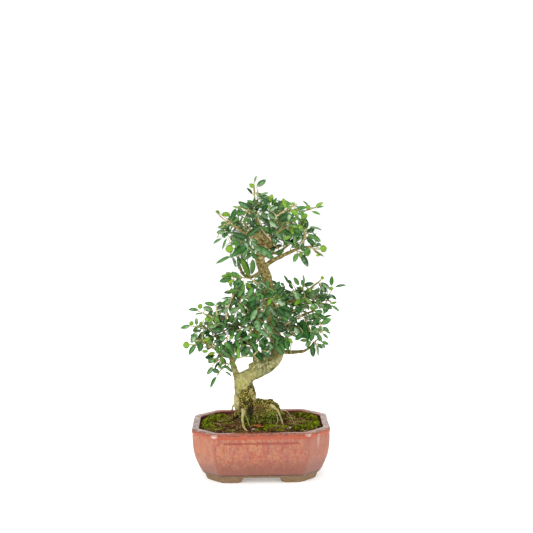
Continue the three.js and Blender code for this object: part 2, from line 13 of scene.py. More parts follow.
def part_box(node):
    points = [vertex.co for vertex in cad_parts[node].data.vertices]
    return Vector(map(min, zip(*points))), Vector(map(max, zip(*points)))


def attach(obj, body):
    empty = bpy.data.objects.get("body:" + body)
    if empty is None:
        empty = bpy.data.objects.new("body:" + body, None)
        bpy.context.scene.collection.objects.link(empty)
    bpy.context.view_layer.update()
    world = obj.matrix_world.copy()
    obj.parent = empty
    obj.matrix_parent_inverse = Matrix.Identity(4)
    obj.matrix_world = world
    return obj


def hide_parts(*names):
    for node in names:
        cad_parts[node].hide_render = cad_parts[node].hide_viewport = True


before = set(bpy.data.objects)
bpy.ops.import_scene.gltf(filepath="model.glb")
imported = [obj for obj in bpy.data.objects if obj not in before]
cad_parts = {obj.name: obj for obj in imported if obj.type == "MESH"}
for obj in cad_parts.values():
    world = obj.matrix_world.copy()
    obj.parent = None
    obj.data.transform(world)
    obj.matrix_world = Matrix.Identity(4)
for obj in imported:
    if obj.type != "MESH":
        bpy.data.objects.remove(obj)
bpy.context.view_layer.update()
noise.seed_set(1)  # without a seed, noise_vector would start from the clock

MM = 0.001
UP = Vector((0, 0, 1))

# ---------------------------------------------------------------- camera of the photograph

PHOTO_SIDE = 533  # pixels
FOCAL = 1019  # pixels
SENSOR = 36  # millimetres
CAMERA_PLACE = Vector((-15.9, -1552.0, 467.0))
LOOK = Vector((0.01738, 0.99549, -0.09364)).normalized()
ROLL = math.radians(0.53)


def camera_axes():
    """The camera's right and up directions."""
    right = LOOK.cross(UP).normalized()
    up = right.cross(LOOK)
    return right * math.cos(ROLL) - up * math.sin(ROLL), right * math.sin(ROLL) + up * math.cos(ROLL)


def make_camera():
    """The camera that took the photograph."""
    data = bpy.data.cameras.new("camera")
    data.sensor_width = SENSOR
    data.lens = FOCAL / PHOTO_SIDE * SENSOR
    camera = bpy.data.objects.new("camera", data)
    right, up = camera_axes()
    turn = Matrix((right, up, -LOOK)).transposed()
    camera.matrix_world = Matrix.Translation(CAMERA_PLACE * MM) @ turn.to_4x4()
    bpy.context.scene.collection.objects.link(camera)
    bpy.context.scene.camera = camera


def at_pixel(u, v, depth):
    """The place seen at a pixel of the photograph, on the plane y = depth."""
    right, up = camera_axes()
    ray = LOOK * FOCAL + right * (u - PHOTO_SIDE / 2) + up * (PHOTO_SIDE / 2 - v)
    return CAMERA_PLACE + ray * ((depth - CAMERA_PLACE.y) / ray.y)


def pixel_of(place):
    """Where a place shows in the photograph."""
    right, up = camera_axes()
    offset = Vector(place) - CAMERA_PLACE
    scale = FOCAL / offset.dot(LOOK)
    return PHOTO_SIDE / 2 + offset.dot(right) * scale, PHOTO_SIDE / 2 - offset.dot(up) * scale


# ---------------------------------------------------------------- lines and shapes


def step(low, high, value):
    """A smooth rise from 0 at low to 1 at high. It falls where low is the larger."""
    t = np.clip((value - low) / (high - low), 0, 1)
    return t * t * (3 - 2 * t)


def smooth_line(points, per_span=12):
    """A centripetal Catmull-Rom line through points. Columns after the third ride along."""
    rows = np.array(points, float)
    rows = np.vstack([2 * rows[0] - rows[1], rows, 2 * rows[-1] - rows[-2]])
    knots = np.sqrt(np.linalg.norm(np.diff(rows[:, :3], axis=0), axis=1))
    t = np.linspace(0, 1, per_span, endpoint=False)[:, None]
    line = []
    for i in range(1, len(rows) - 2):
        before, here, after = knots[i - 1:i + 2]
        a, b, c, d = rows[i - 1:i + 3]
        start = ((b - a) / before - (c - a) / (before + here) + (c - b) / here) * here
        end = ((c - b) / here - (d - b) / (here + after) + (d - c) / after) * here
        bend = 3 * (c - b) - 2 * start - end
        twist = 2 * (b - c) + start + end
        line.append(b + start * t + bend * t**2 + twist * t**3)
    line.append(rows[-2:-1])
    return np.vstack(line)


class Curve:
    """A line of points whose places are found by the fraction of its length."""

    def __init__(self, line):
        self.line = np.array(line, float)
        steps = np.linalg.norm(np.diff(self.line[:, :3], axis=0), axis=1)
        self.reach = np.concatenate([[0], np.cumsum(steps)])
        self.length = self.reach[-1]

    def rows(self, fractions):
        """Rows of the line at fractions of its length."""
        wanted = np.asarray(fractions) * self.length
        return np.stack([np.interp(wanted, self.reach, column) for column in self.line.T], axis=-1)

    def at(self, fraction):
        """The place at a fraction of the length."""
        return Vector(self.rows(fraction)[:3])

    def along(self, fraction):
        """The direction at a fraction of the length."""
        ahead = self.at(min(fraction + 0.01, 1)) - self.at(max(fraction - 0.01, 0))
        return ahead.normalized()


class Shape:
    """Vertices, faces and vertex values of a piece that is being built."""

    def __init__(self, values=()):
        self.vertices = []
        self.faces = []
        self.face_slots = []
        self.values = {name: [] for name in values}
        self.count = 0

    def add(self, vertices, faces, face_slot=0, **values):
        """Adds vertices, faces with a material, and the vertices' values, which are zero if not given."""
        self.vertices.append(np.asarray(vertices, float))
        self.faces += [tuple(corner + self.count for corner in face) for face in faces]
        self.face_slots += [face_slot] * len(faces)
        for name, column in self.values.items():
            column.append(np.broadcast_to(values.get(name, 0.0), len(vertices)))
        self.count += len(vertices)

    def mesh(self, name):
        """A Blender mesh in metres, smooth, with the values as attributes."""
        mesh = bpy.data.meshes.new(name)
        mesh.from_pydata(np.vstack(self.vertices) * MM, [], self.faces)
        mesh.polygons.foreach_set("material_index", self.face_slots)
        mesh.polygons.foreach_set("use_smooth", [True] * len(self.faces))
        for key, column in self.values.items():
            data = mesh.attributes.new(key, "FLOAT", "POINT").data
            data.foreach_set("value", np.concatenate(column).astype(np.float32))
        mesh.update()
        return mesh


def across(direction):
    """Two directions square to a direction, the first of them level."""
    level = direction.cross(UP)
    level = level.normalized() if level.length > 0.1 else Vector((1, 0, 0))
    return level, level.cross(direction).normalized()


def tube(line, sides, jagged=0.0, seed=0):
    """A closed tube along rows of [x, y, z, radius]."""
    rows = np.asarray(line, float)
    ahead = np.gradient(rows[:, :3], axis=0)
    level, _ = across(Vector(ahead[0]).normalized())
    angles = np.arange(sides) * 2 * math.pi / sides
    draw = random.Random(seed)
    rings = []
    for row, way in zip(rows, ahead):
        way = Vector(way).normalized()
        level = (level - way * level.dot(way)).normalized()
        raised = level.cross(way)
        radii = row[3] * np.array([1 + jagged * (draw.random() - 0.5) for _ in angles])
        ring = np.outer(np.cos(angles) * radii, level) + np.outer(np.sin(angles) * radii, raised)
        rings.append(ring + row[:3])
    vertices = np.vstack([*rings, rows[:1, :3], rows[-1:, :3]])
    faces = []
    for i in range(len(rows) - 1):
        for k in range(sides):
            a, b = i * sides + k, i * sides + (k + 1) % sides
            faces.append((a, b, b + sides, a + sides))
    start, end, last = len(vertices) - 2, len(vertices) - 1, (len(rows) - 1) * sides
    for k in range(sides):
        faces.append((start, (k + 1) % sides, k))
        faces.append((end, last + k, last + (k + 1) % sides))
    return vertices, faces


def ball(centre, radii, sides=24, rings=16):
    """An ellipsoid."""
    vertices = [(0, 0, 1)]
    for ring in range(1, rings):
        tilt = math.pi * ring / rings
        level = math.sin(tilt)
        for side in range(sides):
            turn = 2 * math.pi * side / sides
            vertices.append((level * math.cos(turn), level * math.sin(turn), math.cos(tilt)))
    vertices.append((0, 0, -1))
    faces = [(0, 1 + k, 1 + (k + 1) % sides) for k in range(sides)]
    for ring in range(rings - 2):
        for k in range(sides):
            a, b = 1 + ring * sides + k, 1 + ring * sides + (k + 1) % sides
            faces.append((a, a + sides, b + sides, b))
    last = len(vertices) - 1
    faces += [(last, last - sides + (k + 1) % sides, last - sides + k) for k in range(sides)]
    return np.array(vertices) * radii + centre, faces


def fused(mesh, voxel, smoothing):
    """Places, normals and faces of a mesh whose overlapping parts have grown into one skin."""
    source = bpy.data.objects.new("to_fuse", mesh)
    bpy.context.scene.collection.objects.link(source)
    skin = source.modifiers.new("skin", "REMESH")
    skin.mode = "VOXEL"
    skin.voxel_size = voxel * MM
    relax = source.modifiers.new("relax", "SMOOTH")
    relax.iterations = smoothing
    bpy.context.view_layer.update()
    done = source.evaluated_get(bpy.context.evaluated_depsgraph_get()).to_mesh()
    places = np.zeros(len(done.vertices) * 3)
    normals = np.zeros(len(done.vertices) * 3)
    done.vertices.foreach_get("co", places)
    done.vertices.foreach_get("normal", normals)
    faces = [tuple(face.vertices) for face in done.polygons]
    bpy.data.objects.remove(source)
    return places.reshape(-1, 3) / MM, normals.reshape(-1, 3), faces


def grain(places, size, octaves=3, offset=0.0):
    """Noise from about -1 to 1 at each place, with lumps of about the given size."""
    return np.array([
        noise.fractal(Vector(place) / size + Vector((offset, 0, 0)), 1.0, 2.0, octaves) for place in places
    ])


def make_piece(name, mesh, materials, nodes=()):
    """A visible piece that rides on the root and the nodes that it stands for."""
    piece = bpy.data.objects.new(name, mesh)
    bpy.context.scene.collection.objects.link(piece)
    for material in materials:
        mesh.materials.append(material)
    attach(piece, "root")
    if nodes:
        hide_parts(*nodes)
    return piece


# ---------------------------------------------------------------- materials

LIGHT_GAIN = 1.45  # how much brighter than its own colour a surface shows in the studio light
FLOOR_GLOW = 0.3


def colour(red, green, blue):
    """The linear colour of a surface that shows with these screen values, from 0 to 255."""
    def linear(value):
        part = value / 255
        whole = part / 12.92 if part <= 0.04045 else ((part + 0.055) / 1.055) ** 2.4
        return whole / LIGHT_GAIN
    return linear(red), linear(green), linear(blue), 1.0


class Finish:
    """A node material: one Principled shader, and short calls for the nodes that feed it."""

    def __init__(self, name, roughness, specular=0.5):
        self.material = bpy.data.materials.new(name)
        self.material.use_nodes = True
        self.nodes = self.material.node_tree.nodes
        self.links = self.material.node_tree.links
        self.shader = self.nodes["Principled BSDF"]
        self.shader.inputs["Roughness"].default_value = roughness
        self.shader.inputs["Specular IOR Level"].default_value = specular
        self.place = self.nodes.new("ShaderNodeTexCoord").outputs["Object"]

    def feed(self, socket, value):
        """Links a node's output to a socket, or sets a plain value."""
        if isinstance(value, bpy.types.NodeSocket):
            self.links.new(value, socket)
        else:
            socket.default_value = value

    def value(self, name):
        """A vertex value of the piece."""
        node = self.nodes.new("ShaderNodeAttribute")
        node.attribute_name = name
        return node.outputs["Fac"]

    def axis(self, name):
        """One coordinate of the place, in millimetres."""
        node = self.nodes.new("ShaderNodeSeparateXYZ")
        self.links.new(self.place, node.inputs[0])
        return self.maths("MULTIPLY", node.outputs[name], 1 / MM)

    def noise(self, size, detail=3, stretch=(1, 1, 1), shift=0):
        """Noise with lumps of about a size in millimetres, stretched along the axes."""
        mapping = self.nodes.new("ShaderNodeMapping")
        self.links.new(self.place, mapping.inputs["Vector"])
        mapping.inputs["Location"].default_value = (shift, shift, shift)
        mapping.inputs["Scale"].default_value = [1 / (size * MM * way) for way in stretch]
        node = self.nodes.new("ShaderNodeTexNoise")
        self.links.new(mapping.outputs[0], node.inputs["Vector"])
        node.inputs["Scale"].default_value = 1
        node.inputs["Detail"].default_value = detail
        return node.outputs["Fac"]

    def near(self, place, reach):
        """1 at a place, and 0 beyond a reach along each axis."""
        mapping = self.nodes.new("ShaderNodeMapping")
        mapping.vector_type = "TEXTURE"
        self.links.new(self.place, mapping.inputs["Vector"])
        mapping.inputs["Location"].default_value = [way * MM for way in place]
        mapping.inputs["Scale"].default_value = [way * MM for way in reach]
        length = self.nodes.new("ShaderNodeVectorMath")
        length.operation = "LENGTH"
        self.links.new(mapping.outputs[0], length.inputs[0])
        return self.step(1, 0.4, length.outputs["Value"])

    def cells(self, size):
        """Distance from the nearest of points that lie about a size apart."""
        node = self.nodes.new("ShaderNodeTexVoronoi")
        self.links.new(self.place, node.inputs["Vector"])
        node.inputs["Scale"].default_value = 1 / (size * MM)
        return node.outputs["Distance"]

    def maths(self, operation, a, b=0.0):
        node = self.nodes.new("ShaderNodeMath")
        node.operation = operation
        self.feed(node.inputs[0], a)
        self.feed(node.inputs[1], b)
        return node.outputs[0]

    def times(self, a, b):
        return self.maths("MULTIPLY", a, b)

    def plus(self, a, b):
        return self.maths("ADD", a, b)

    def step(self, low, high, value, most=1.0):
        """A smooth rise from 0 at low to the most at high."""
        node = self.nodes.new("ShaderNodeMapRange")
        node.interpolation_type = "SMOOTHSTEP"
        self.feed(node.inputs["Value"], value)
        node.inputs["From Min"].default_value = low
        node.inputs["From Max"].default_value = high
        node.inputs["To Max"].default_value = most
        return node.outputs[0]

    def varied(self, value, amount, size, shift=0):
        """A value with noise of an amount added."""
        centred = self.plus(self.noise(size, 3, (1, 1, 1), shift), -0.5)
        return self.plus(value, self.times(centred, amount))

    def ramp(self, value, *stops):
        """A colour that runs through stops of (place, colour)."""
        node = self.nodes.new("ShaderNodeValToRGB")
        self.feed(node.inputs[0], value)
        elements = node.color_ramp.elements
        elements[0].position, elements[0].color = stops[0]
        elements[1].position, elements[1].color = stops[-1]
        for position, shade in stops[1:-1]:
            elements.new(position).color = shade
        return node.outputs["Color"]

    def mix(self, share, a, b):
        """Colour a, turning into colour b as the share grows from 0 to 1."""
        node = self.nodes.new("ShaderNodeMix")
        node.data_type = "RGBA"
        self.feed(node.inputs["Factor"], share)
        self.feed(node.inputs[6], a)
        self.feed(node.inputs[7], b)
        return node.outputs[2]

    def patched(self, base, rows):
        """Patches over a base. Each row: the noise's size, detail, stretch upwards and shift, the noise at
        which the patch starts and is full, its share and its colour."""
        for (size, detail, stretch, shift), (start, full), share, shade in rows:
            where = self.step(start, full, self.noise(size, detail, (1, 1, stretch), shift), share)
            base = self.mix(where, base, shade)
        return base

    def shaded(self, base, rows, where=1):
        """Colours around places. Each row: the middle, reach, share and colour of a place."""
        for place, reach, share, shade in rows:
            near = self.times(self.near(place, reach), share)
            base = self.mix(self.times(near, where), base, shade)
        return base

    def bump(self, height, distance, below=None):
        """Relief of about a distance in millimetres, over an earlier relief."""
        node = self.nodes.new("ShaderNodeBump")
        node.inputs["Distance"].default_value = distance * MM
        self.feed(node.inputs["Height"], height)
        if below:
            self.links.new(below, node.inputs["Normal"])
        return node.outputs["Normal"]

    def finish(self, base, roughness=None, normal=None):
        """Feeds the shader and returns the material."""
        self.feed(self.shader.inputs["Base Color"], base)
        if roughness:
            self.links.new(roughness, self.shader.inputs["Roughness"])
        if normal:
            self.links.new(normal, self.shader.inputs["Normal"])
        return self.material


# Mottling of the glaze and the bark, in the rows of Finish.patched.
GLAZE_PATCHES = [
    [(3.2, 6, 1.5, 0), (0.47, 0.62), 0.8, colour(208, 154, 112)],
    [(5, 6, 2, 3), (0.48, 0.62), 0.8, colour(186, 92, 78)],
    [(9, 6, 2.6, 8), (0.52, 0.66), 0.5, colour(172, 112, 108)],
    [(3.4, 3, 9, 7), (0.52, 0.72), 0.4, colour(168, 112, 84)],
    [(1.6, 4, 1, 11), (0.58, 0.66), 0.75, colour(104, 78, 66)],
]
BARK_PATCHES = [
    [(14, 4, 1, 4), (0.5, 0.66), 0.6, colour(188, 176, 80)],
    [(14, 5, 1, 27), (0.54, 0.66), 0.55, colour(124, 98, 52)],
]
# Painted highlights below the rim; bark colours with painted light and shade on the bough and the trunk's
# left side; and the moss and soil at the foot of the mound, in the rows of Finish.shaded.
PAINTED_HIGHLIGHT = colour(238, 212, 198)
GLAZE_PAINTED_HIGHLIGHTS = [
    [(-70, -78, 77), (6.5, 7, 4.6), 0.9, PAINTED_HIGHLIGHT],
    [(70, -79, 78.5), (6, 7, 4), 0.9, PAINTED_HIGHLIGHT],
    [(85, -64, 68), (3.2, 4, 17), 0.34, PAINTED_HIGHLIGHT],
]
BARK_COLOURS_AND_PAINTED_LIGHT = [
    # Rows one and two: painted shade on the bough; three, four and six: painted light on it; five: a darker
    # callus.
    [(20, -8, 190), (16, 24, 20), 0.75, colour(104, 104, 48)],
    [(6, -14, 176), (12, 14, 10), 0.6, colour(104, 106, 46)],
    [(31, 0, 172), (12, 20, 15), 0.55, colour(206, 202, 146)],
    [(4, -4, 158), (22, 20, 9), 0.4, colour(186, 194, 138)],
    [(11, 0, 356), (20, 22, 18), 0.6, colour(84, 74, 28)],
    [(-24, -10, 152), (26, 26, 24), 0.5, colour(216, 208, 134)],
    [(-4, -18, 105), (9, 9, 8), 0.8, colour(150, 104, 66)],
    # Painted light on the trunk's lit left side (this row and the next).
    [(-37, -10, 115), (9, 12, 10), 0.85, colour(238, 230, 168)],
    [(-31, -14, 138), (10, 10, 14), 0.5, colour(206, 196, 104)],
    [(5, -18, 95), (9, 9, 9), 0.6, colour(120, 150, 24)],
]
MOUND_SHADES = [
    [(-20, -34, 88), (16, 90, 13), 0.9, colour(104, 168, 10)],
    [(20, -34, 88), (30, 90, 16), 0.9, colour(118, 160, 18)],
    [(-2, -36, 103), (16, 90, 11), 0.8, colour(144, 104, 66)],
]
# Heights where a finish changes: where the change starts and where it is full.
BROWN_BELOW = (48, 18)
BAND_ABOVE = (70.5, 73.5)
GREY_LINE_ABOVE, GREY_LINE_BELOW = (76.4, 77.2), (79, 78.2)
LIP_TOP_ABOVE = (78.9, 79.6)
DARK_EDGE_BELOW = (15.5, 13.2)  # the glaze's edge over the bare clay of the feet
CLAY_BELOW = (12.6, 11.6)
TWIGGY_ABOVE = (215, 300)


def mottled_glaze(f):
    """Mottled glaze, lilac at its corners; painted shade to the right, painted light and shade on the cut
    sides.
    """
    base = f.ramp(f.noise(30, 2), (0.36, colour(208, 128, 96)), (0.62, colour(198, 116, 94)))
    base = f.patched(base, GLAZE_PATCHES)
    pores = f.step(0.3, 0.12, f.cells(2.1), 0.35)
    base = f.mix(pores, base, colour(226, 176, 138))
    at_corner = f.step(0.3, 0.05, f.maths("ABSOLUTE", f.plus(f.value("cut"), -0.5)), 0.6)
    base = f.mix(at_corner, base, colour(160, 104, 108))
    # Painted shade: the glaze darkens towards the right, away from the key light.
    right_painted_shade = f.step(-10, 80, f.varied(f.axis("X"), 60, 30), 0.4)
    base = f.mix(right_painted_shade, base, colour(172, 108, 94))
    # Painted light and shade on the cut sides: the right one darker and greyer, the left one lighter.
    right_cut_painted_light = f.times(f.value("cut"), f.step(40, 80, f.axis("X"), 0.4))
    base = f.mix(right_cut_painted_light, base, colour(188, 122, 96))
    left_cut_painted_light = f.times(f.value("cut"), f.step(-40, -80, f.axis("X"), 0.35))
    return f.mix(left_cut_painted_light, base, colour(206, 134, 96))


def glazed_lip(f, base, height, outside):
    """The lip's mottled top, lilac at the sides and redder between them, over a broken grey line."""
    lilac = f.ramp(f.noise(7, 5), (0.34, colour(100, 70, 60)), (0.46, colour(150, 116, 102)),
                   (0.62, colour(198, 162, 146)))
    reddish = f.ramp(f.noise(5, 5), (0.35, colour(136, 74, 60)), (0.65, colour(196, 124, 102)))
    at_side = f.step(66, 84, f.maths("ABSOLUTE", f.axis("X")))
    lip_top = f.mix(at_side, reddish, lilac)
    base = f.mix(f.times(f.step(*LIP_TOP_ABOVE, height), outside), base, lip_top)
    grey_line = f.times(f.step(*GREY_LINE_ABOVE, height), f.step(*GREY_LINE_BELOW, height))
    broken = f.times(grey_line, f.step(0.38, 0.6, f.noise(7, 5, (1, 1, 0.4), 5), 0.8))
    return f.mix(f.times(broken, outside), base, colour(104, 84, 74))


def glaze_material():
    """Mottled terracotta-pink glaze, lilac on the rim, over olive-brown clay at the foot."""
    f = Finish("glaze", 0.3, 0.3)
    height = f.axis("Z")
    outside = f.maths("SUBTRACT", 1, f.value("inner"))
    base = mottled_glaze(f)
    brown = f.step(*BROWN_BELOW, f.varied(height, 26, 12), 0.85)
    base = f.mix(brown, base, colour(154, 98, 82))
    band = f.times(f.step(*BAND_ABOVE, f.varied(height, 3, 14)), outside)
    base = f.mix(f.times(band, 0.85), base, colour(200, 92, 62))
    base = f.mix(f.step(0.1, 0.8, f.value("groove"), 0.75), base, colour(166, 74, 56))
    # Painted highlights on the front corners under the lip, and a painted pale streak on the right cut side.
    base = f.shaded(base, GLAZE_PAINTED_HIGHLIGHTS, f.step(0.32, 0.46, f.noise(4, 3, (1, 1, 5), 2)))
    inner = f.ramp(f.noise(7, 3), (0.3, colour(74, 42, 34)), (0.7, colour(150, 84, 68)))
    base = f.mix(f.value("inner"), base, inner)
    base = glazed_lip(f, base, height, outside)
    clay_edge = f.varied(height, 2.5, 9)
    base = f.mix(f.step(*DARK_EDGE_BELOW, clay_edge, 0.9), base, colour(92, 66, 54))
    bare = f.step(*CLAY_BELOW, clay_edge)
    clay = f.ramp(f.noise(3, 4), (0.3, colour(132, 104, 74)), (0.7, colour(176, 144, 110)))
    base = f.mix(bare, base, clay)
    gloss = f.step(0.2, 0.9, f.noise(4, 3), 0.5)
    roughness = f.maths("MAXIMUM", f.times(bare, 0.75), gloss)
    dimples = f.bump(f.noise(3.5, 3), 0.3)
    return f.finish(base, roughness, f.bump(f.noise(0.8, 2), 0.06, dimples))


def bare_bark(f):
    """Grey-green tan bark with dots, twig-like further up the tree."""
    base = f.ramp(f.noise(3.6, 7, (1, 1, 1.3)), (0.36, colour(84, 78, 34)), (0.45, colour(146, 142, 84)),
                  (0.54, colour(188, 186, 126)), (0.64, colour(242, 236, 186)))
    base = f.patched(base, BARK_PATCHES)
    dots = f.step(0.36, 0.16, f.cells(1.9), 0.7)
    base = f.mix(dots, base, colour(92, 78, 38))
    # Colours of the bark, with painted light and shade on the bough and the trunk's left side.
    base = f.shaded(base, BARK_COLOURS_AND_PAINTED_LIGHT)
    twiggy = f.ramp(f.noise(3.4, 6), (0.34, colour(90, 66, 26)), (0.45, colour(158, 134, 70)),
                    (0.56, colour(206, 188, 116)), (0.68, colour(240, 230, 172)))
    return f.mix(f.step(*TWIGGY_ABOVE, f.axis("Z"), 0.8), base, twiggy)


def mossy_foot(f, base):
    """The rough foot of the trunk: dark pits and mossy lumps, green and brown low on the mound."""
    rough = f.value("rough")
    lumpy = f.varied(f.noise(2.2, 6, (1, 1, 1), 8), 0.4, 9, 3)
    mossy = f.ramp(lumpy, (0.34, colour(16, 12, 4)), (0.44, colour(66, 56, 16)),
                   (0.52, colour(124, 112, 34)), (0.6, colour(180, 164, 66)), (0.7, colour(246, 234, 160)))
    base = f.mix(rough, base, mossy)
    green = f.times(rough, f.step(0.53, 0.66, f.noise(8, 5, (1, 1, 1), 15), 0.5))
    base = f.mix(green, base, colour(104, 122, 16))
    patchy = f.times(rough, f.step(0.44, 0.58, lumpy, 0.8))
    return f.shaded(base, MOUND_SHADES, patchy)


def bark_material():
    """Bark with its mossy foot, pale roots, dark knots, painted shade in the hollow and painted light on the
    left.
    """
    f = Finish("bark", 0.8, 0.25)
    base = mossy_foot(f, bare_bark(f))
    pale = f.ramp(f.noise(3, 5), (0.3, colour(172, 150, 74)), (0.5, colour(224, 210, 138)),
                  (0.7, colour(250, 242, 196)))
    base = f.mix(f.value("pale"), base, pale)
    # Dark knots, and painted shade in the hollow beside the front root.
    base = f.mix(f.value("dark"), base, colour(38, 28, 16))
    relief = f.bump(f.noise(4, 5, (1, 1, 2)), 1.2)
    return f.finish(base, None, f.bump(f.noise(1.1, 4), 0.9, relief))


def twig_material():
    """Beige-brown twigs that turn green towards their tips; some are pale by their tone."""
    f = Finish("twig", 0.65, 0.35)
    base = f.ramp(f.noise(2.5, 4), (0.32, colour(150, 120, 62)), (0.5, colour(220, 200, 134)),
                  (0.66, colour(250, 240, 190)))
    base = f.mix(f.step(0.45, 1, f.value("along"), 0.8), base, colour(146, 160, 66))
    base = f.mix(f.times(f.value("tone"), 0.7), base, colour(244, 230, 188))
    return f.finish(base, None, f.bump(f.noise(1, 3), 0.2))


def leaf_material():
    """Leathery leaves: dark to young green by their tone, with a pale midrib and pale undersides.

    The darker ones carry a painted sheen, the sky's reflection, in patches, most on the half that faces the
    sky.
    Leaves deep in the foliage are darker from painted shade.
    """
    f = Finish("leaf", 0.4, 0.22)
    tone = f.varied(f.value("tone"), 0.25, 7)
    base = f.ramp(tone, (0.0, colour(14, 52, 12)), (0.25, colour(42, 110, 38)),
                  (0.5, colour(104, 166, 70)), (0.72, colour(144, 194, 42)), (1.0, colour(204, 228, 88)))
    old = f.step(0.6, 0.35, f.value("tone"))
    cloudy = f.step(0.36, 0.56, f.noise(5, 3, (1, 1, 1), 9), 0.95)
    painted_sheen_share = f.times(f.times(f.value("bloom"), old), cloudy)
    base = f.mix(painted_sheen_share, base, colour(198, 228, 180))
    side = f.maths("ABSOLUTE", f.value("across"))
    base = f.mix(f.step(0.13, 0.02, side, 0.5), base, colour(134, 182, 100))
    ribs = f.times(f.step(0.6, 0.7, f.noise(1.5, 2)), 0.18)
    base = f.mix(ribs, base, colour(120, 170, 96))
    base = f.mix(f.step(0.58, 1.0, side, 0.65), base, colour(20, 62, 14))
    pale = f.mix(0.5, base, colour(132, 172, 110))
    base = f.mix(f.value("underside"), base, pale)
    base = f.mix(f.step(0.14, 0.06, f.value("along")), base, colour(188, 178, 100))
    relief = f.bump(f.step(0.12, 0.0, side), 0.12)
    relief = f.bump(f.noise(1.6, 3), 0.12, relief)
    return f.finish(base, f.step(0.1, 0.9, f.noise(5, 2), 0.7), relief)


def moss_material():
    """Moss: bright green shoot tips over dark green and brown."""
    f = Finish("moss", 0.9, 0.1)
    tone = f.varied(f.value("tone"), 0.5, 5)
    base = f.ramp(tone, (0.0, colour(56, 42, 10)), (0.2, colour(106, 104, 14)),
                  (0.45, colour(154, 188, 6)), (0.75, colour(192, 230, 14)), (1.0, colour(234, 244, 80)))
    return f.finish(base, None, f.bump(f.noise(0.8, 3), 0.4))


def soil_material():
    """Dark potting soil with paler crumbs, dry threads and bits."""
    f = Finish("potting_soil", 0.9, 0.1)
    tone = f.varied(f.value("tone"), 0.4, 2.2)
    base = f.ramp(tone, (0.0, colour(34, 20, 10)), (0.25, colour(88, 52, 32)),
                  (0.5, colour(144, 102, 62)), (0.75, colour(190, 164, 98)), (1.0, colour(234, 214, 156)))
    green = f.step(0.54, 0.68, f.noise(13, 4, (1, 1, 1), 21), 0.5)
    base = f.mix(green, base, colour(104, 106, 38))
    return f.finish(base, None, f.bump(f.noise(1.1, 4), 0.5))


def dry_leaf_material():
    """A dry leaf in orange-brown, with a dark midrib."""
    f = Finish("dry_leaf", 0.6, 0.4)
    base = f.ramp(f.noise(4, 4), (0.3, colour(176, 84, 44)), (0.55, colour(216, 118, 62)),
                  (0.75, colour(238, 168, 116)))
    side = f.maths("ABSOLUTE", f.value("across"))
    base = f.mix(f.step(0.12, 0.02, side, 0.6), base, colour(122, 58, 30))
    return f.finish(base, None, f.bump(f.noise(1, 3), 0.2))


def chip_material():
    """A pale chip of bark with grain along it."""
    f = Finish("pale_chip", 0.7, 0.3)
    base = f.ramp(f.noise(3, 4, (1, 4, 4)), (0.3, colour(170, 158, 136)), (0.7, colour(224, 214, 196)))
    return f.finish(base, None, f.bump(f.noise(0.8, 3, (4, 1, 1)), 0.3))


def grit_material():
    """A grain of white grit."""
    f = Finish("white_grit", 0.6, 0.4)
    base = f.ramp(f.noise(1.5, 4), (0.3, colour(206, 210, 208)), (0.7, colour(246, 246, 242)))
    return f.finish(base, None, f.bump(f.noise(0.7, 3), 0.3))


def plastic_material():
    """Dull black plastic."""
    f = Finish("screen_plastic", 0.5, 0.4)
    base = f.ramp(f.noise(4, 3), (0.3, colour(30, 30, 29)), (0.7, colour(52, 51, 48)))
    return f.finish(base, None, f.bump(f.noise(0.6, 2), 0.05))


def floor_material():
    """A white floor that glows a little, like a lit table, so that shadows on it stay faint."""
    f = Finish("floor", 0.9, 0.1)
    f.shader.inputs["Emission Color"].default_value = (1, 1, 1, 1)
    f.shader.inputs["Emission Strength"].default_value = FLOOR_GLOW
    base = f.ramp(f.noise(300, 2), (0.4, (0.95, 0.95, 0.95, 1)), (0.6, (0.97, 0.97, 0.97, 1)))
    return f.finish(base)


GLAZE = glaze_material()
BARK = bark_material()
TWIG = twig_material()
LEAF = leaf_material()
MOSS = moss_material()
SOIL = soil_material()

# ---------------------------------------------------------------- pot

POT = {"length": 210, "width": 160, "chamfer": 34, "taper": 0.42}
CORNER = {"body": 3.5, "rim": 6}  # how far a corner's rounding reaches along its sides
PANEL = {"top": 65.5, "foot": 17, "edge": 0.075, "depth": 0.8}  # the edge is a share of the side
ROUND_STEPS = np.linspace(0, 1, 5)  # points round a corner
CUT_STEPS = np.linspace(0, 1, 10)[1:-1]  # points along a cut side, between its rounded corners
EDGE_STEPS = PANEL["edge"] + np.array([-0.04, -0.01, 0, 0.01])
PANEL_STEPS = np.concatenate([EDGE_STEPS, np.linspace(0.12, 0.88, 20), 1 - EDGE_STEPS[::-1]])

# Rows of (inset from the rim's outline, height).
OUTER_WALL = [(24, 8), (20, 8.4), (17.6, 9.8), (14.4, 14), (10.4, 22), (7.2, 30), (4, 40), (2, 53),
              (1.1, 67), (1, 72.5)]
LIP = [(1, 73.1), (0.3, 73.9), (0, 75.1), (0, 78.1), (0.5, 79.5), (1.8, 80.4), (6, 80.7), (9.2, 80.4),
       (10.6, 79.6), (11.1, 78.1)]
INNER_WALL = [(11.1, 77.5), (11, 70), (12, 56), (14.5, 38), (20, 24), (28, 14)]
WALL_ROWS, LIP_ROWS, INNER_ROWS = 84, 34, 14  # rings of points along each of the three
RIM_FROM, RIM_FULL = 68, 73  # heights between which the corners widen to the rim's
INSIDE_FROM, INSIDE_FULL = 80.1, 79.1  # heights between which the inner wall's finish starts
GROOVE_WIDTH = 1.6  # how far from its middle the line along the top of a panel fades
WOBBLE, WOBBLE_SIZE = 0.35, 38  # how far the walls waver, and over what length

# The feet: how far they stay from the middle, how far their ends curl and the insets of their two sides.
FOOT = {"gap_x": 27.5, "gap_y": 15, "curl": 10, "lift": 7.5, "outside": 22, "inside": 39}
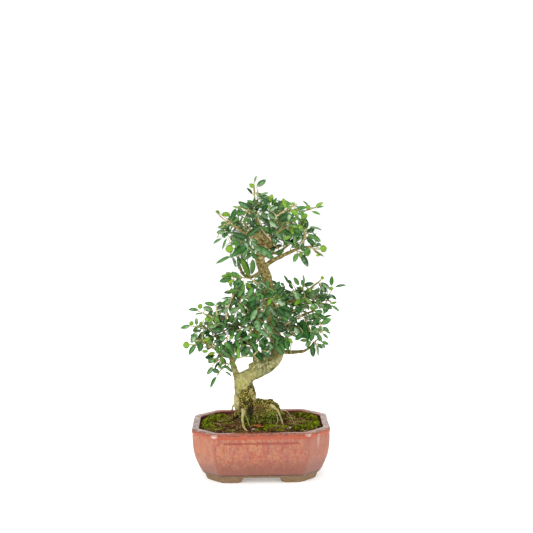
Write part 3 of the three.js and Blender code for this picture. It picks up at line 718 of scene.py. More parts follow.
# The section of a foot: share of the way from its outside to its inside, and height.
FOOT_SECTION = [(-0.2, 12), (-0.12, 7), (-0.03, 1.6), (0.05, 0), (0.95, 0), (1, 2), (1, 12)]


def corners_of(inset):
    """The eight corners of the pot's outline, this far inside the rim."""
    x = POT["length"] / 2 - inset
    y = POT["width"] / 2 - inset
    cut = max(POT["chamfer"] - POT["taper"] * inset, 6)
    return np.array([
        (x - cut, -y), (x, cut - y), (x, y - cut), (x - cut, y),
        (cut - x, y), (-x, y - cut), (-x, cut - y), (cut - x, -y),
    ])


def outline(inset, rounding):
    """Points of the outline with its corners rounded. After an odd corner comes a panel's side."""
    corners = corners_of(inset)
    points = []
    for i, corner in enumerate(corners):
        before = corners[i - 1] - corner
        after = corners[(i + 1) % 8] - corner
        reach = min(rounding, 0.3 * min(np.linalg.norm(before), np.linalg.norm(after)))
        start = corner + before / np.linalg.norm(before) * reach
        end = corner + after / np.linalg.norm(after) * reach
        following = corners[(i + 1) % 8] - after / np.linalg.norm(after) * reach
        points += [start * (1 - t)**2 + corner * 2 * t * (1 - t) + end * t**2 for t in ROUND_STEPS]
        points += [end * (1 - t) + following * t for t in (PANEL_STEPS if i % 2 else CUT_STEPS)]
    return np.array(points)


def outline_values():
    """For each point of an outline, how far it lies on a cut side and on a pressed panel."""
    edge = PANEL["edge"]
    from_end = np.minimum(PANEL_STEPS, 1 - PANEL_STEPS)
    on_panel = step(edge - 0.01, edge + 0.01, from_end)
    cut, panel = [], []
    for i in range(8):
        cut += [*(1 - ROUND_STEPS if i % 2 else ROUND_STEPS)]
        cut += [0] * len(PANEL_STEPS) if i % 2 else [1] * len(CUT_STEPS)
        panel += [0] * len(ROUND_STEPS)
        panel += [*on_panel] if i % 2 else [0] * len(CUT_STEPS)
    return np.array(cut), np.array(panel)


def resampled(points, count):
    """Evenly spaced rows of a smooth line through points of (inset, height)."""
    line = Curve(smooth_line([(*point, 0) for point in points], 20))
    return [(inset, height) for inset, height, _ in line.rows(np.linspace(0, 1, count))]


def loft(shape, rings, **values):
    """Adds rings of equally many points, closed at both ends."""
    count = len(rings[0])
    faces = []
    for i in range(len(rings) - 1):
        for k in range(count):
            a, b = i * count + k, i * count + (k + 1) % count
            faces.append((a, b, b + count, a + count))
    faces.append(tuple(range(count))[::-1])
    faces.append(tuple(range((len(rings) - 1) * count, len(rings) * count)))
    shape.add(np.vstack(rings), faces, **values)


def add_bowl(shape):
    """The bowl of the pot: its wall with the pressed panels, the rolled lip and the inner wall."""
    on_cut, on_panel = outline_values()
    rings, values = [], {"groove": [], "inner": [], "cut": []}
    rows = resampled(OUTER_WALL, WALL_ROWS) + resampled(LIP, LIP_ROWS) + resampled(INNER_WALL, INNER_ROWS)
    top = max(range(len(rows)), key=lambda k: rows[k][1])
    for k, (inset, height) in enumerate(rows):
        rounding = CORNER["body"] + (CORNER["rim"] - CORNER["body"]) * step(RIM_FROM, RIM_FULL, height)
        ring = outline(inset, rounding)
        groove = on_panel * math.exp(-((height - PANEL["top"]) / GROOVE_WIDTH)**2) * (k < top)
        pressed = step(PANEL["top"] + 1, PANEL["top"] - 1, height)
        pressed *= step(PANEL["foot"] - 2, PANEL["foot"] + 2, height)
        depth = PANEL["depth"] * (groove + on_panel * pressed * (k < top))
        ring = ring * (1 - depth / np.linalg.norm(ring, axis=1))[:, None]
        rings.append(np.column_stack([ring, np.full(len(ring), height)]))
        is_inner = float(step(INSIDE_FROM, INSIDE_FULL, height)) * (k > top)
        values["groove"].append(groove)
        values["cut"].append(on_cut)
        values["inner"].append(np.full(len(ring), is_inner))
    loft(shape, rings, **{name: np.concatenate(column) for name, column in values.items()})


def foot_side(inset):
    """The line of one side of a foot, round a cut corner of the pot."""
    near, far = corners_of(inset)[3], corners_of(inset)[2]
    path = [(FOOT["gap_x"], near[1]), (near[0] - 3, near[1]), (near[0] + 2, near[1] - 2),
            (far[0] - 2, far[1] + 2), (far[0], far[1] - 3), (far[0], FOOT["gap_y"])]
    return Curve(smooth_line([(x, y, 0) for x, y in path], 8))


def add_foot(shape, right, back):
    """A bracket foot that follows a cut corner and curls up to the body at both of its ends."""
    outside, inside = foot_side(FOOT["outside"]), foot_side(FOOT["inside"])
    fractions = np.linspace(0, 1, 45)
    from_end = np.minimum(fractions, 1 - fractions) * outside.length
    lifts = FOOT["lift"] * (1 - np.sqrt(1 - (1 - np.clip(from_end / FOOT["curl"], 0, 1))**2))
    rings = []
    for outer, inner, lift in zip(outside.rows(fractions)[:, :2], inside.rows(fractions)[:, :2], lifts):
        ring = [(*(outer * (1 - share) + inner * share), max(height, lift)) for share, height in FOOT_SECTION]
        rings.append(np.array(ring) * (right, back, 1))
    loft(shape, rings if right * back > 0 else rings[::-1])


def make_pot():
    """The pot with its four feet, its walls a little uneven as fired clay is."""
    shape = Shape(["groove", "inner", "cut"])
    add_bowl(shape)
    for right in (1, -1):
        for back in (1, -1):
            add_foot(shape, right, back)
    places = np.vstack(shape.vertices)
    sideways = places[:, :2] / np.linalg.norm(places[:, :2], axis=1, keepdims=True).clip(1)
    wobble = WOBBLE * grain(places, WOBBLE_SIZE, 2) * step(2, 12, places[:, 2])
    places[:, :2] += sideways * wobble[:, None]
    shape.vertices = [places]
    make_piece("glazed_pot", shape.mesh("glazed_pot"), [GLAZE], ["pot"])


# ---------------------------------------------------------------- wood

# Each limb is a list of [x, y, z, radius] along its middle, within about 5 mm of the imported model's.
LIMBS = {
    "stump": [[-11, 3, 62, 13], [-14, 1, 78, 14], [-18, -2, 92, 15.5], [-21.5, -3, 104, 17.6],
              [-24, -4, 115, 17.4], [-24, -4, 127, 15.6], [-26, -4, 138, 14.9], [-28, -4, 148, 12.5],
              [-31, -4, 157, 8.5]],
    "bough": [[-35, -4, 142, 8.5], [-24, -3, 149, 10.8], [-10, -1, 155.4, 10.5], [2, 0, 160.5, 10.2],
              [14, 2, 167.5, 10.2], [23, 4, 177, 10.2], [27, 5, 189, 10.2], [26, 6, 203, 10],
              [21, 7, 222, 9.6], [18, 6, 241, 9], [16, 4, 261, 8.6], [15, 3, 280, 8.3], [13, 3, 296, 8],
              [9, 3, 310, 8], [3, 3, 324, 7.6], [1, 2, 336, 7.3], [6, 1, 347, 7.6], [13, 0, 357, 8.6]],
    "left_low": [[-35, -4, 148, 6], [-38, -7, 160, 4.6], [-43, -10, 174, 4.2], [-46, -12, 183, 3],
                 [-56, -16, 187, 2.5], [-65, -20, 195, 2.2], [-77, -22, 204, 1.9], [-90, -24, 211, 1.5]],
    "left_rise": [[-42, -9, 172, 3.2], [-48, -6, 189, 2.7], [-58, 0, 197, 2.3], [-65, 6, 207, 2],
                  [-70, 10, 219, 1.5]],
    "inner": [[-4, -2, 160, 7], [-5.5, -7, 175, 6.2], [-7, -11, 190, 4.6], [-9, -14, 202, 3.8],
              [-8, -18, 221, 3.2], [-3, -18, 238, 2.8], [-2, -14, 255, 2.3], [-4, -10, 268, 1.8]],
    "left_mid": [[-8, -18, 220, 2.7], [-21, -22, 230, 2.4], [-36, -24, 237, 2.2], [-52, -24, 243, 2],
                 [-68, -20, 245, 1.7], [-82, -18, 250, 1.4]],
    "left_top": [[-33, -24, 236, 2.1], [-44, -26, 245, 2], [-50, -24, 256, 1.8], [-44, -22, 269, 1.6],
                 [-37, -20, 281, 1.4]],
    "left_far": [[-48, -24, 241, 2.1], [-60, -10, 235, 1.9], [-73, -4, 230, 1.6], [-85, -2, 227, 1.3]],
    "left_back": [[18, 6, 241, 3.4], [4, 26, 247, 2.9], [-15, 44, 255, 2.3], [-34, 56, 257, 1.6]],
    "right_low": [[28, 5, 190, 3.4], [44, 2, 187.6, 3], [57, 0, 188.4, 2.8], [68, -2, 190.4, 2.5],
                  [77, -4, 196, 1.9], [83, -6, 204, 1.5]],
    "right_mid": [[22, 7, 217, 3.6], [34, 0, 229, 3], [46, -8, 236, 2.6], [57, -12, 243, 2.2],
                  [69, -14, 249, 1.9], [82, -12, 253, 1.5]],
    "right_top": [[17, 6, 247, 4], [30, 2, 258, 3.2], [44, -2, 266, 2.7], [59, -6, 268, 2.4],
                  [74, -8, 267, 2.1], [90, -8, 265, 1.8], [101, -8, 263, 1.5]],
    "right_up": [[59, -6, 268, 2.1], [70, 0, 277, 1.8], [81, 6, 287, 1.5], [90, 10, 294, 1.3]],
    "right_back": [[21, 7, 228, 3.4], [34, 28, 237, 2.8], [49, 46, 244, 2.2], [65, 58, 249, 1.6]],
    "front_mid": [[18, 5, 250, 3], [13, -16, 262, 2.5], [6, -34, 271, 2], [3, -48, 279, 1.5]],
    "back_mid": [[16, 4, 269, 3], [14, 24, 276, 2.5], [11, 44, 280, 2], [11, 60, 285, 1.5]],
    "fork": [[6, 3, 315, 3.4], [-5, 0, 308, 2.8], [-16, -4, 305, 2.6], [-24, -8, 310, 2.3],
             [-29, -12, 321, 2], [-32, -16, 334, 1.6]],
    "crown_left": [[11, 0, 355, 4.9], [-1, -4, 364, 4.6], [-14, -8, 371, 4], [-26, -10, 378, 3.2],
                   [-38, -12, 384, 2]],
    "crown_right": [[-2, -4, 308, 2.4], [5, -5, 317, 3.4], [15, -2, 326.6, 3.5], [27, -2, 333.4, 3.2],
                    [41, -6, 340.4, 3], [55, -9, 347, 2.3], [68, -12, 351, 1.8], [82, -14, 352, 1.4]],
    "crown_right_inner": [[4, 2, 336, 2.6], [20, 4, 340, 2.2], [34, 6, 345, 1.9], [45, 8, 353, 1.7],
                          [53, 10, 361, 1.4]],
    "apex": [[17, -4, 361, 2.6], [9, -9, 367, 2.3], [1, -9, 381, 2.1], [-3, -8, 398, 1.8],
             [-5, -8, 414, 1.5], [-6, -8, 429, 1.2]],
    "crown_top": [[20, 0, 358, 3], [28, -2, 375, 2.4], [34, -4, 389, 2], [40, -6, 401, 1.7],
                  [49, -8, 409, 1.4]],
    "crown_back": [[15, 0, 357, 3.2], [19, 18, 371, 2.6], [23, 36, 380, 2.1], [23, 50, 391, 1.5]],
    "crown_back_left": [[6, 0, 357, 3], [-6, 18, 371, 2.4], [-17, 34, 379, 2], [-23, 46, 388, 1.5]],
    "crown_front": [[18, 0, 358, 3], [27, -18, 370, 2.4], [33, -34, 378, 1.9], [37, -46, 386, 1.5]],
}

# Roots in the same form.
ROOTS = {
    "front": [[-26, -13, 108, 2.7], [-27, -20, 99, 2.3], [-28, -25, 90, 2.2], [-27, -31, 82.5, 2.1],
              [-25, -42, 79.5, 1.8], [-20, -53, 78, 1.3]],
    "left": [[-38, -5, 110, 1.8], [-43, -6, 104.5, 1.2], [-44, -8, 92.5, 1], [-43, -10, 74.5, 0.9]],
    "right": [[17, -10, 106, 1.8], [25, -13, 101, 1.7], [30, -15, 90.5, 1.5], [34, -18, 78.5, 1.4],
              [40, -22, 70.5, 1.4]],
    "right_back": [[22, 6, 100.5, 4.5], [34, 16, 86.5, 3.6], [46, 26, 77.5, 2.4], [58, 34, 71.5, 1.6]],
    "back": [[-14, 10, 98.5, 6], [-14, 24, 86.5, 4.6], [-10, 38, 77.5, 3], [-4, 50, 71.5, 2]],
    "left_back": [[-30, 4, 96.5, 4.4], [-42, 14, 83.5, 3.6], [-56, 24, 75.5, 2.4], [-66, 30, 70.5, 1.6]],
}

# Middle and radii of the lumps on trunk and limbs. The first is the callus of the cut leader.
SWELLINGS = [
    [(11, 0, 356), (11.5, 10, 10.5)],
    [(-12, -6, 167), (5.5, 5, 7)],
    [(-2, -3, 168), (8, 6, 11)],
    [(-9, -12, 199), (7, 5, 5)],
    [(-18, -4, 307), (4.5, 4, 4)],
    [(2, -3, 178.5), (11, 7, 9)],
    [(-3, -2, 355.5), (6.5, 6, 5)],
    [(-42, -8, 178), (5, 5, 5)],
    [(2, -22, 95), (5, 4, 5)],
    [(3, -3, 370), (8, 6, 8)],
]
MOUND = [(4, -1, 86), (27, 17, 29.5)]  # the mound of roots beside the trunk: middle and radii
STRANDS = 38  # thin roots that run down over the mound
TRUNK_SIDES, LIMB_SIDES, STRAND_SIDES = 22, 10, 7
IN_THE_SKIN = 14  # points of each limb's line that grow into the trunk's skin
CROWN_FOOT = 300  # limbs that start above this height are less rough
LOW_ROUGHNESS, CROWN_ROUGHNESS = 0.5, 0.15
KNOBBLY, WANDER = 0.22, 0.7  # a limb's uneven thickness, as a share, and its sideways wander
PALE_ROOTS = ("front", "right")
PALE_PATCHES = [  # middle and radii of the bare, pale places on the foot of the trunk
    # The first is painted light on the trunk's lit left side.
    [(-38, -9, 116), (10, 12, 10)],
    [(-9, -14, 120), (5, 9, 7)],
    [(-14, -16, 130), (4.5, 8, 7)],
]
KNOTS = [(1.5, -9.5, 355.5, 4), (3.5, -6, 309.5, 3), (-10, -18, 203, 4.5)]  # dark: x, y, z and radius
# The hollow is dented a little; its dark colour is painted shade.
CAVITY = [(-15, -20, 99), (10, 11, 15)]  # the hollow beside the front root: middle and radii
STUBS = [  # start, tip and radius of broken ends
    [(-15, -7, 163), (-17.6, -8, 173), 2.6],
    [(-11, -7, 164), (-9.4, -8, 171.5), 2.4],
    [(22, -1, 352), (31, -5, 352), 1.6],
    [(-43, -13, 176), (-36, -20, 171), 1.4],
    [(-28, -12, 322), (-33, -13, 326), 1.0],
    [(-27, -10, 316), (-33, -12, 321), 0.9],
    [(-24, -8, 311), (-26, -10, 316), 1.0],
]
HAIR_ROOTS = [  # thin pale roots that hang free
    [[30, -14, 99, 0.5], [38, -16, 100, 0.45], [45, -18, 93, 0.4], [49, -19, 85, 0.35],
     [52, -20, 77, 0.3]],
    [[-24, -20, 95, 0.6], [-20, -26, 88, 0.5], [-18, -30, 82, 0.4], [-14, -32, 78, 0.4]],
    [[24, -15, 95, 0.7], [26, -20, 87, 0.6], [24, -26, 81, 0.5], [27, -32, 78, 0.4]],
]


def mound_strands(shape):
    """Roots that run down over the mound like cords, all round it."""
    draw = random.Random(5)
    centre, radii = (np.array(part, float) for part in MOUND)
    for k in range(STRANDS):
        turn = 2 * math.pi * k / STRANDS + draw.uniform(-0.1, 0.1)
        thick = draw.uniform(0.8, 1.8)
        top = draw.uniform(0.2, 0.9)
        rows = []
        for tilt in np.linspace(top, 1.7, 9):
            turn += draw.uniform(-0.13, 0.13)
            level = math.sin(min(tilt, 1.57))  # straight down below the mound's widest ring
            way = np.array((level * math.cos(turn), level * math.sin(turn), math.cos(tilt)))
            spread = draw.uniform(0.98, 1.05) + 0.14 * max(0, tilt - 1.2)
            rows.append([*(centre + way * radii * spread), thick * (1.15 - 0.3 * tilt)])
        shape.add(*tube(smooth_line(rows, 5), STRAND_SIDES))


def wood_skin():
    """The trunk, its bough, the mound and the roots, grown into one skin with relief."""
    shape = Shape()
    for name in ("stump", "bough"):
        shape.add(*tube(smooth_line(LIMBS[name], 6), TRUNK_SIDES))
    for rows in LIMBS.values():
        shape.add(*tube(smooth_line(rows, 6)[:IN_THE_SKIN], LIMB_SIDES))
    for rows in ROOTS.values():
        shape.add(*tube(smooth_line(rows, 6), LIMB_SIDES))
    for centre, radii in [*SWELLINGS, MOUND]:
        shape.add(*ball(np.array(centre, float), np.array(radii, float)))
    mound_strands(shape)
    places, normals, faces = fused(shape.mesh("wood"), 1.0, 2)
    values = wood_values(places)
    rough, dark = values["rough"], values["dark"]
    relief = (0.5 + 0.9 * rough) * grain(places, 13, 2) + (0.2 + 1.2 * rough) * grain(places, 4.5, 3, 9)
    relief += (0.1 + 0.5 * rough) * grain(places, 1.8, 2, 17)
    return places + normals * (relief - 3 * dark)[:, None], faces, values


def near_ball(places, centre, radii):
    """How far places lie inside a ball, from 0 at its skin to 1 near its middle."""
    return step(1, 0.4, np.linalg.norm((places - centre) / radii, axis=1))


def near_root(places, name):
    """How near places are to a root, from 0 to 1."""
    near = np.zeros(len(places))
    for row in smooth_line(ROOTS[name], 8):
        reach = np.linalg.norm(places - row[:3], axis=1)
        near = np.maximum(near, step(row[3] * 1.7 + 0.8, row[3] + 0.3, reach))
    return near


def wood_values(places):
    """Where the wood is dark, with painted shade in the hollow, pale, with painted light on its left, or
    rough with moss.
    """
    x, _, z = places.T
    dark = 0.9 * near_ball(places, *CAVITY)
    for *centre, radius in KNOTS:
        dark = np.maximum(dark, near_ball(places, centre, radius))
    # Painted light: a pale strip on the trunk's lit left side.
    pale = 0.9 * step(-31, -37, x) * step(98, 106, z) * step(128, 118, z)
    for patch in PALE_PATCHES:
        pale = np.maximum(pale, 0.65 * near_ball(places, *patch))
    for name in PALE_ROOTS:
        pale = np.maximum(pale, 0.9 * near_root(places, name))
    moss_line = 146 + 0.95 * np.minimum(x + 13, 0) + 6 * grain(places, 9, 2, 33)
    rough = step(4, -4, z - moss_line) * (1 - 0.7 * pale)
    return {"dark": dark, "pale": pale, "rough": rough}


def add_limb(shape, rows, seed, rough):
    """A branch with knobbly thickness and a slightly wandering middle."""
    line = Curve(smooth_line(rows, 8))
    fine = line.rows(np.linspace(0, 1, max(8, int(line.length / 2.2))))
    fine[:, 3] *= 1 + KNOBBLY * grain(fine[:, :3], 6, 2, seed)
    fine[:, :3] += np.array([noise.noise_vector(Vector(row[:3]) / 14) for row in fine]) * WANDER
    shape.add(*tube(fine, LIMB_SIDES, 0.12, seed), rough=rough)


def add_stub(shape, start, tip, radius):
    """A short broken stub that ends in a point."""
    start, tip = np.array(start, float), np.array(tip, float)
    rows = [[*(start * (1 - t) + tip * t), radius * (1 - t)**0.6 + 0.15] for t in np.linspace(0, 1, 6)]
    shape.add(*tube(rows, 7, 0.5, 3))


def make_wood():
    """The trunk with its roots, then the limbs, stubs and thin free roots."""
    shape = Shape(["dark", "pale", "rough"])
    places, faces, values = wood_skin()
    shape.add(places, faces, **values)
    for seed, (name, rows) in enumerate(LIMBS.items()):
        if name not in ("stump", "bough"):
            low = rows[0][2] < CROWN_FOOT
            add_limb(shape, rows, seed, LOW_ROUGHNESS if low else CROWN_ROUGHNESS)
    for stub in STUBS:
        add_stub(shape, *stub)
    for rows in HAIR_ROOTS:
        shape.add(*tube(smooth_line(rows, 6), 6), pale=0.8)
    make_piece("tree_wood", shape.mesh("tree_wood"), [BARK], ["tree"])


# ---------------------------------------------------------------- leafy shoots

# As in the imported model: limb, place along it, leaf length, and the tips of the shoots.
SPRAYS = [
    ("apex", 1, 17, [(-7, -8, 449), (6, -14, 432)]),
    ("apex", 0.6, 18, [(-18, -12, 420), (0, -26, 419), (-13, -34, 404)]),
    ("crown_top", 0.5, 18, [(15, -6, 418), (22, 2, 412), (27, -30, 405)]),
    ("crown_top", 0.8, 17, [(84, -18, 411), (64, -14, 406)]),
    ("crown_top", 1, 17, [(56, -8, 418), (39, -4, 417)]),
    ("crown_left", 0.75, 18, [(-38, -8, 403), (-24, -28, 398)]),
    ("crown_left", 1, 17, [(-61, -14, 404), (-58, -20, 384), (-63, -26, 367)]),
    ("crown_left", 0.5, 27, [(-29, -48, 357), (-12, -58, 354), (-50, -32, 356)]),
    ("fork", 1, 21, [(-41, -26, 345), (-20, -22, 346)]),
    ("crown_front", 0.9, 18, [(39, -68, 390), (24, -62, 394), (36, -60, 368), (52, -56, 378)]),
    ("crown_right_inner", 1, 18, [(58, 8, 374), (69, 2, 383), (38, 24, 374)]),
    ("crown_right_inner", 0.7, 18, [(50, -14, 367), (24, -16, 348)]),
    ("crown_right", 0.72, 18, [(60, -22, 338), (74, -24, 338)]),
    ("crown_right", 0.85, 18, [(65, -22, 391), (73, -18, 374)]),
    ("crown_right", 1, 16, [(95, -18, 348), (86, -12, 366)]),
    ("crown_back", 1, 18, [(28, 62, 409), (8, 64, 408)]),
    ("crown_back", 0.65, 18, [(50, 54, 392), (62, 46, 376), (28, 60, 374)]),
    ("crown_back_left", 1, 18, [(-14, 58, 407), (-38, 52, 401)]),
    ("crown_back_left", 0.65, 18, [(-38, 50, 382), (-42, 42, 362), (-8, 58, 372)]),
    ("left_low", 0.32, 17, [(-52, -22, 168), (-36, -30, 196)]),
    ("left_low", 0.56, 19, [(-66, -24, 158), (-76, -32, 172)]),
    ("left_low", 0.78, 15, [(-83, -32, 195), (-99, -12, 198)]),
    ("left_low", 1, 17, [(-107, -26, 210), (-94, -34, 221)]),
    ("left_rise", 0.85, 18, [(-80, 0, 214), (-82, 18, 228), (-52, 16, 216), (-62, 20, 236)]),
    ("left_far", 1, 16, [(-106, -4, 230), (-92, 6, 237)]),
    ("left_mid", 0.4, 20, [(-36, -50, 230), (-50, -42, 219)]),
    ("left_mid", 0.75, 18, [(-66, -42, 238), (-72, -30, 258)]),
    ("left_mid", 1, 16, [(-98, -18, 257), (-82, -26, 264)]),
    ("left_top", 0.55, 18, [(-63, -26, 274), (-58, -38, 261)]),
    ("left_top", 0.9, 20, [(-40, -20, 306), (-27, -28, 298), (-50, -22, 285), (-24, -40, 281)]),
    ("left_back", 0.9, 18, [(-50, 66, 262), (-34, 60, 278), (-25, 62, 234), (-12, 60, 268)]),
    ("inner", 0.42, 21, [(-26, -44, 205), (-4, -48, 199)]),
    ("inner", 0.75, 22, [(-22, -52, 255), (-6, -58, 250)]),
    ("inner", 1, 20, [(-12, -18, 291), (2, -30, 292)]),
    ("front_mid", 0.85, 21, [(12, -62, 295), (-4, -66, 284), (24, -58, 270), (4, -64, 262)]),
    ("back_mid", 1, 18, [(28, 74, 286), (2, 72, 292), (14, 70, 262)]),
    ("right_top", 0.33, 20, [(26, -16, 296), (36, -34, 288)]),
    ("right_top", 0.58, 19, [(50, -10, 295), (43, -38, 283), (68, -22, 293)]),
    ("right_top", 0.78, 19, [(92, -26, 279), (60, -44, 277), (90, -32, 260)]),
    ("right_top", 1, 16, [(111, -10, 285), (115, -10, 264)]),
    ("right_up", 1, 15, [(97, 12, 300), (96, 18, 284)]),
    ("right_mid", 0.45, 21, [(36, -34, 212), (50, -28, 222), (60, -42, 232)]),
    ("right_mid", 0.8, 21, [(74, -36, 226), (98, -18, 222), (105, -18, 240)]),
    ("right_low", 1, 17, [(94, -10, 212), (86, -10, 190)]),
    ("right_back", 0.9, 18, [(80, 66, 262), (76, 64, 236), (50, 60, 226), (52, 60, 264)]),
]
FIRST_SEED, SEED_STEP = 101, 17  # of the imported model's sprays
BOW = 0.12  # how far a shoot bows out, as a share of its length
NODE_SPACING = 9.5  # distance between two pairs of leaves on a shoot
LAST_NODE = 0.96  # where the last pair sits on a shoot
SPREAD = (1.15, 0.6)  # angle between leaf and shoot, at a shoot's start and tip
LAST_PAIR = 0.85  # how long the last pair is beside the others
TWIG_RADIUS = (0.95, 0.5)  # at a shoot's start and tip
TWIG_SIDES = 7
PETIOLE = 0.1  # the stalk's share of a leaf's length
THICKNESS = 0.28  # of a leaf
YOUNG_SHARE = 0.25  # chance of a last pair's leaf to be young and bright
SIDE_SHOOTS = 0.6  # chance of a short side shoot at a joint
SPUR_SPACING = 9  # distance between the short shoots straight from a limb
SPUR_WOOD = 3.1  # a limb carries them where it is thinner than this

TIERS = [  # middle and radii of the two tiers of leaves
    [(5, -5, 375), (72, 60, 58)],
    [(0, 0, 245), (112, 75, 52)],
]
LEAF_GAIN = 1.2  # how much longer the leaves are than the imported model's
SOFT_EDGE = 0.8  # how much wider the clear leaves are than they measure, in pixels

# Where the photograph shows foliage, as pixels read from it: the outlines of the two tiers.
CROWN_EDGE = [
    (254, 197), (262, 193), (271, 196), (278, 200), (285, 200), (296, 204), (308, 206), (308, 214),
    (307.5, 224), (314, 228), (317, 239), (312, 246), (300, 248), (288, 252), (274, 257), (262, 261),
    (254, 270), (243, 267), (238, 258), (230, 255), (226, 247), (229, 240), (219, 235), (219, 224),
    (226, 219), (232, 210), (241, 203), (248, 200),
]
LOWER_EDGE = [
    (228, 273), (238, 274), (244, 280), (256, 278), (266, 282), (280, 285), (288, 290.5), (300, 286),
    (312, 287), (322, 284), (329, 288), (332, 297), (330, 305), (326.5, 311), (328, 319), (326, 330),
    (321, 336), (315, 343), (307, 340), (300, 337), (291, 339), (290, 346), (284, 353), (274, 350),
    (268, 354), (261, 359), (252, 352), (244, 355), (237, 353), (232, 361), (226, 368), (221, 373),
    (212, 370), (210, 362), (207, 352), (199, 350), (193, 343), (193, 333), (196, 328), (204, 320),
    (207, 309), (214, 305), (222, 299), (226, 291), (231, 286), (226, 279),
]
# Centre and half size of each gap in the foliage, in pixels.
GAPS = [
    (246, 289, 2.6, 6), (228.5, 288, 3.2, 2.6), (236.5, 314.5, 2, 2.4), (245.4, 314, 2.6, 3.6),
    (228.5, 333, 2.2, 4), (257, 330.5, 3, 1.4), (245, 341.5, 3, 1.4), (214.5, 340.5, 1.8, 2.8),
    (244, 364, 8, 7.5), (260.8, 349, 2, 3), (266.5, 352, 2, 2.4), (298, 345, 7, 4.8), (266, 310, 1.6, 2),
    (245, 217, 3, 2), (254.5, 224.5, 1.4, 2), (284, 224, 1.8, 1.6), (280.5, 245.5, 3.6, 5.4),
    (291, 247, 4, 2.6), (228, 240.8, 4, 2.6), (228.5, 295.5, 4, 1.8), (306, 243, 3, 3),
    (302, 234, 1.4, 1.4), (265, 240, 7, 5), (263, 270, 6, 9), (293.5, 337, 2.2, 2.4),
]

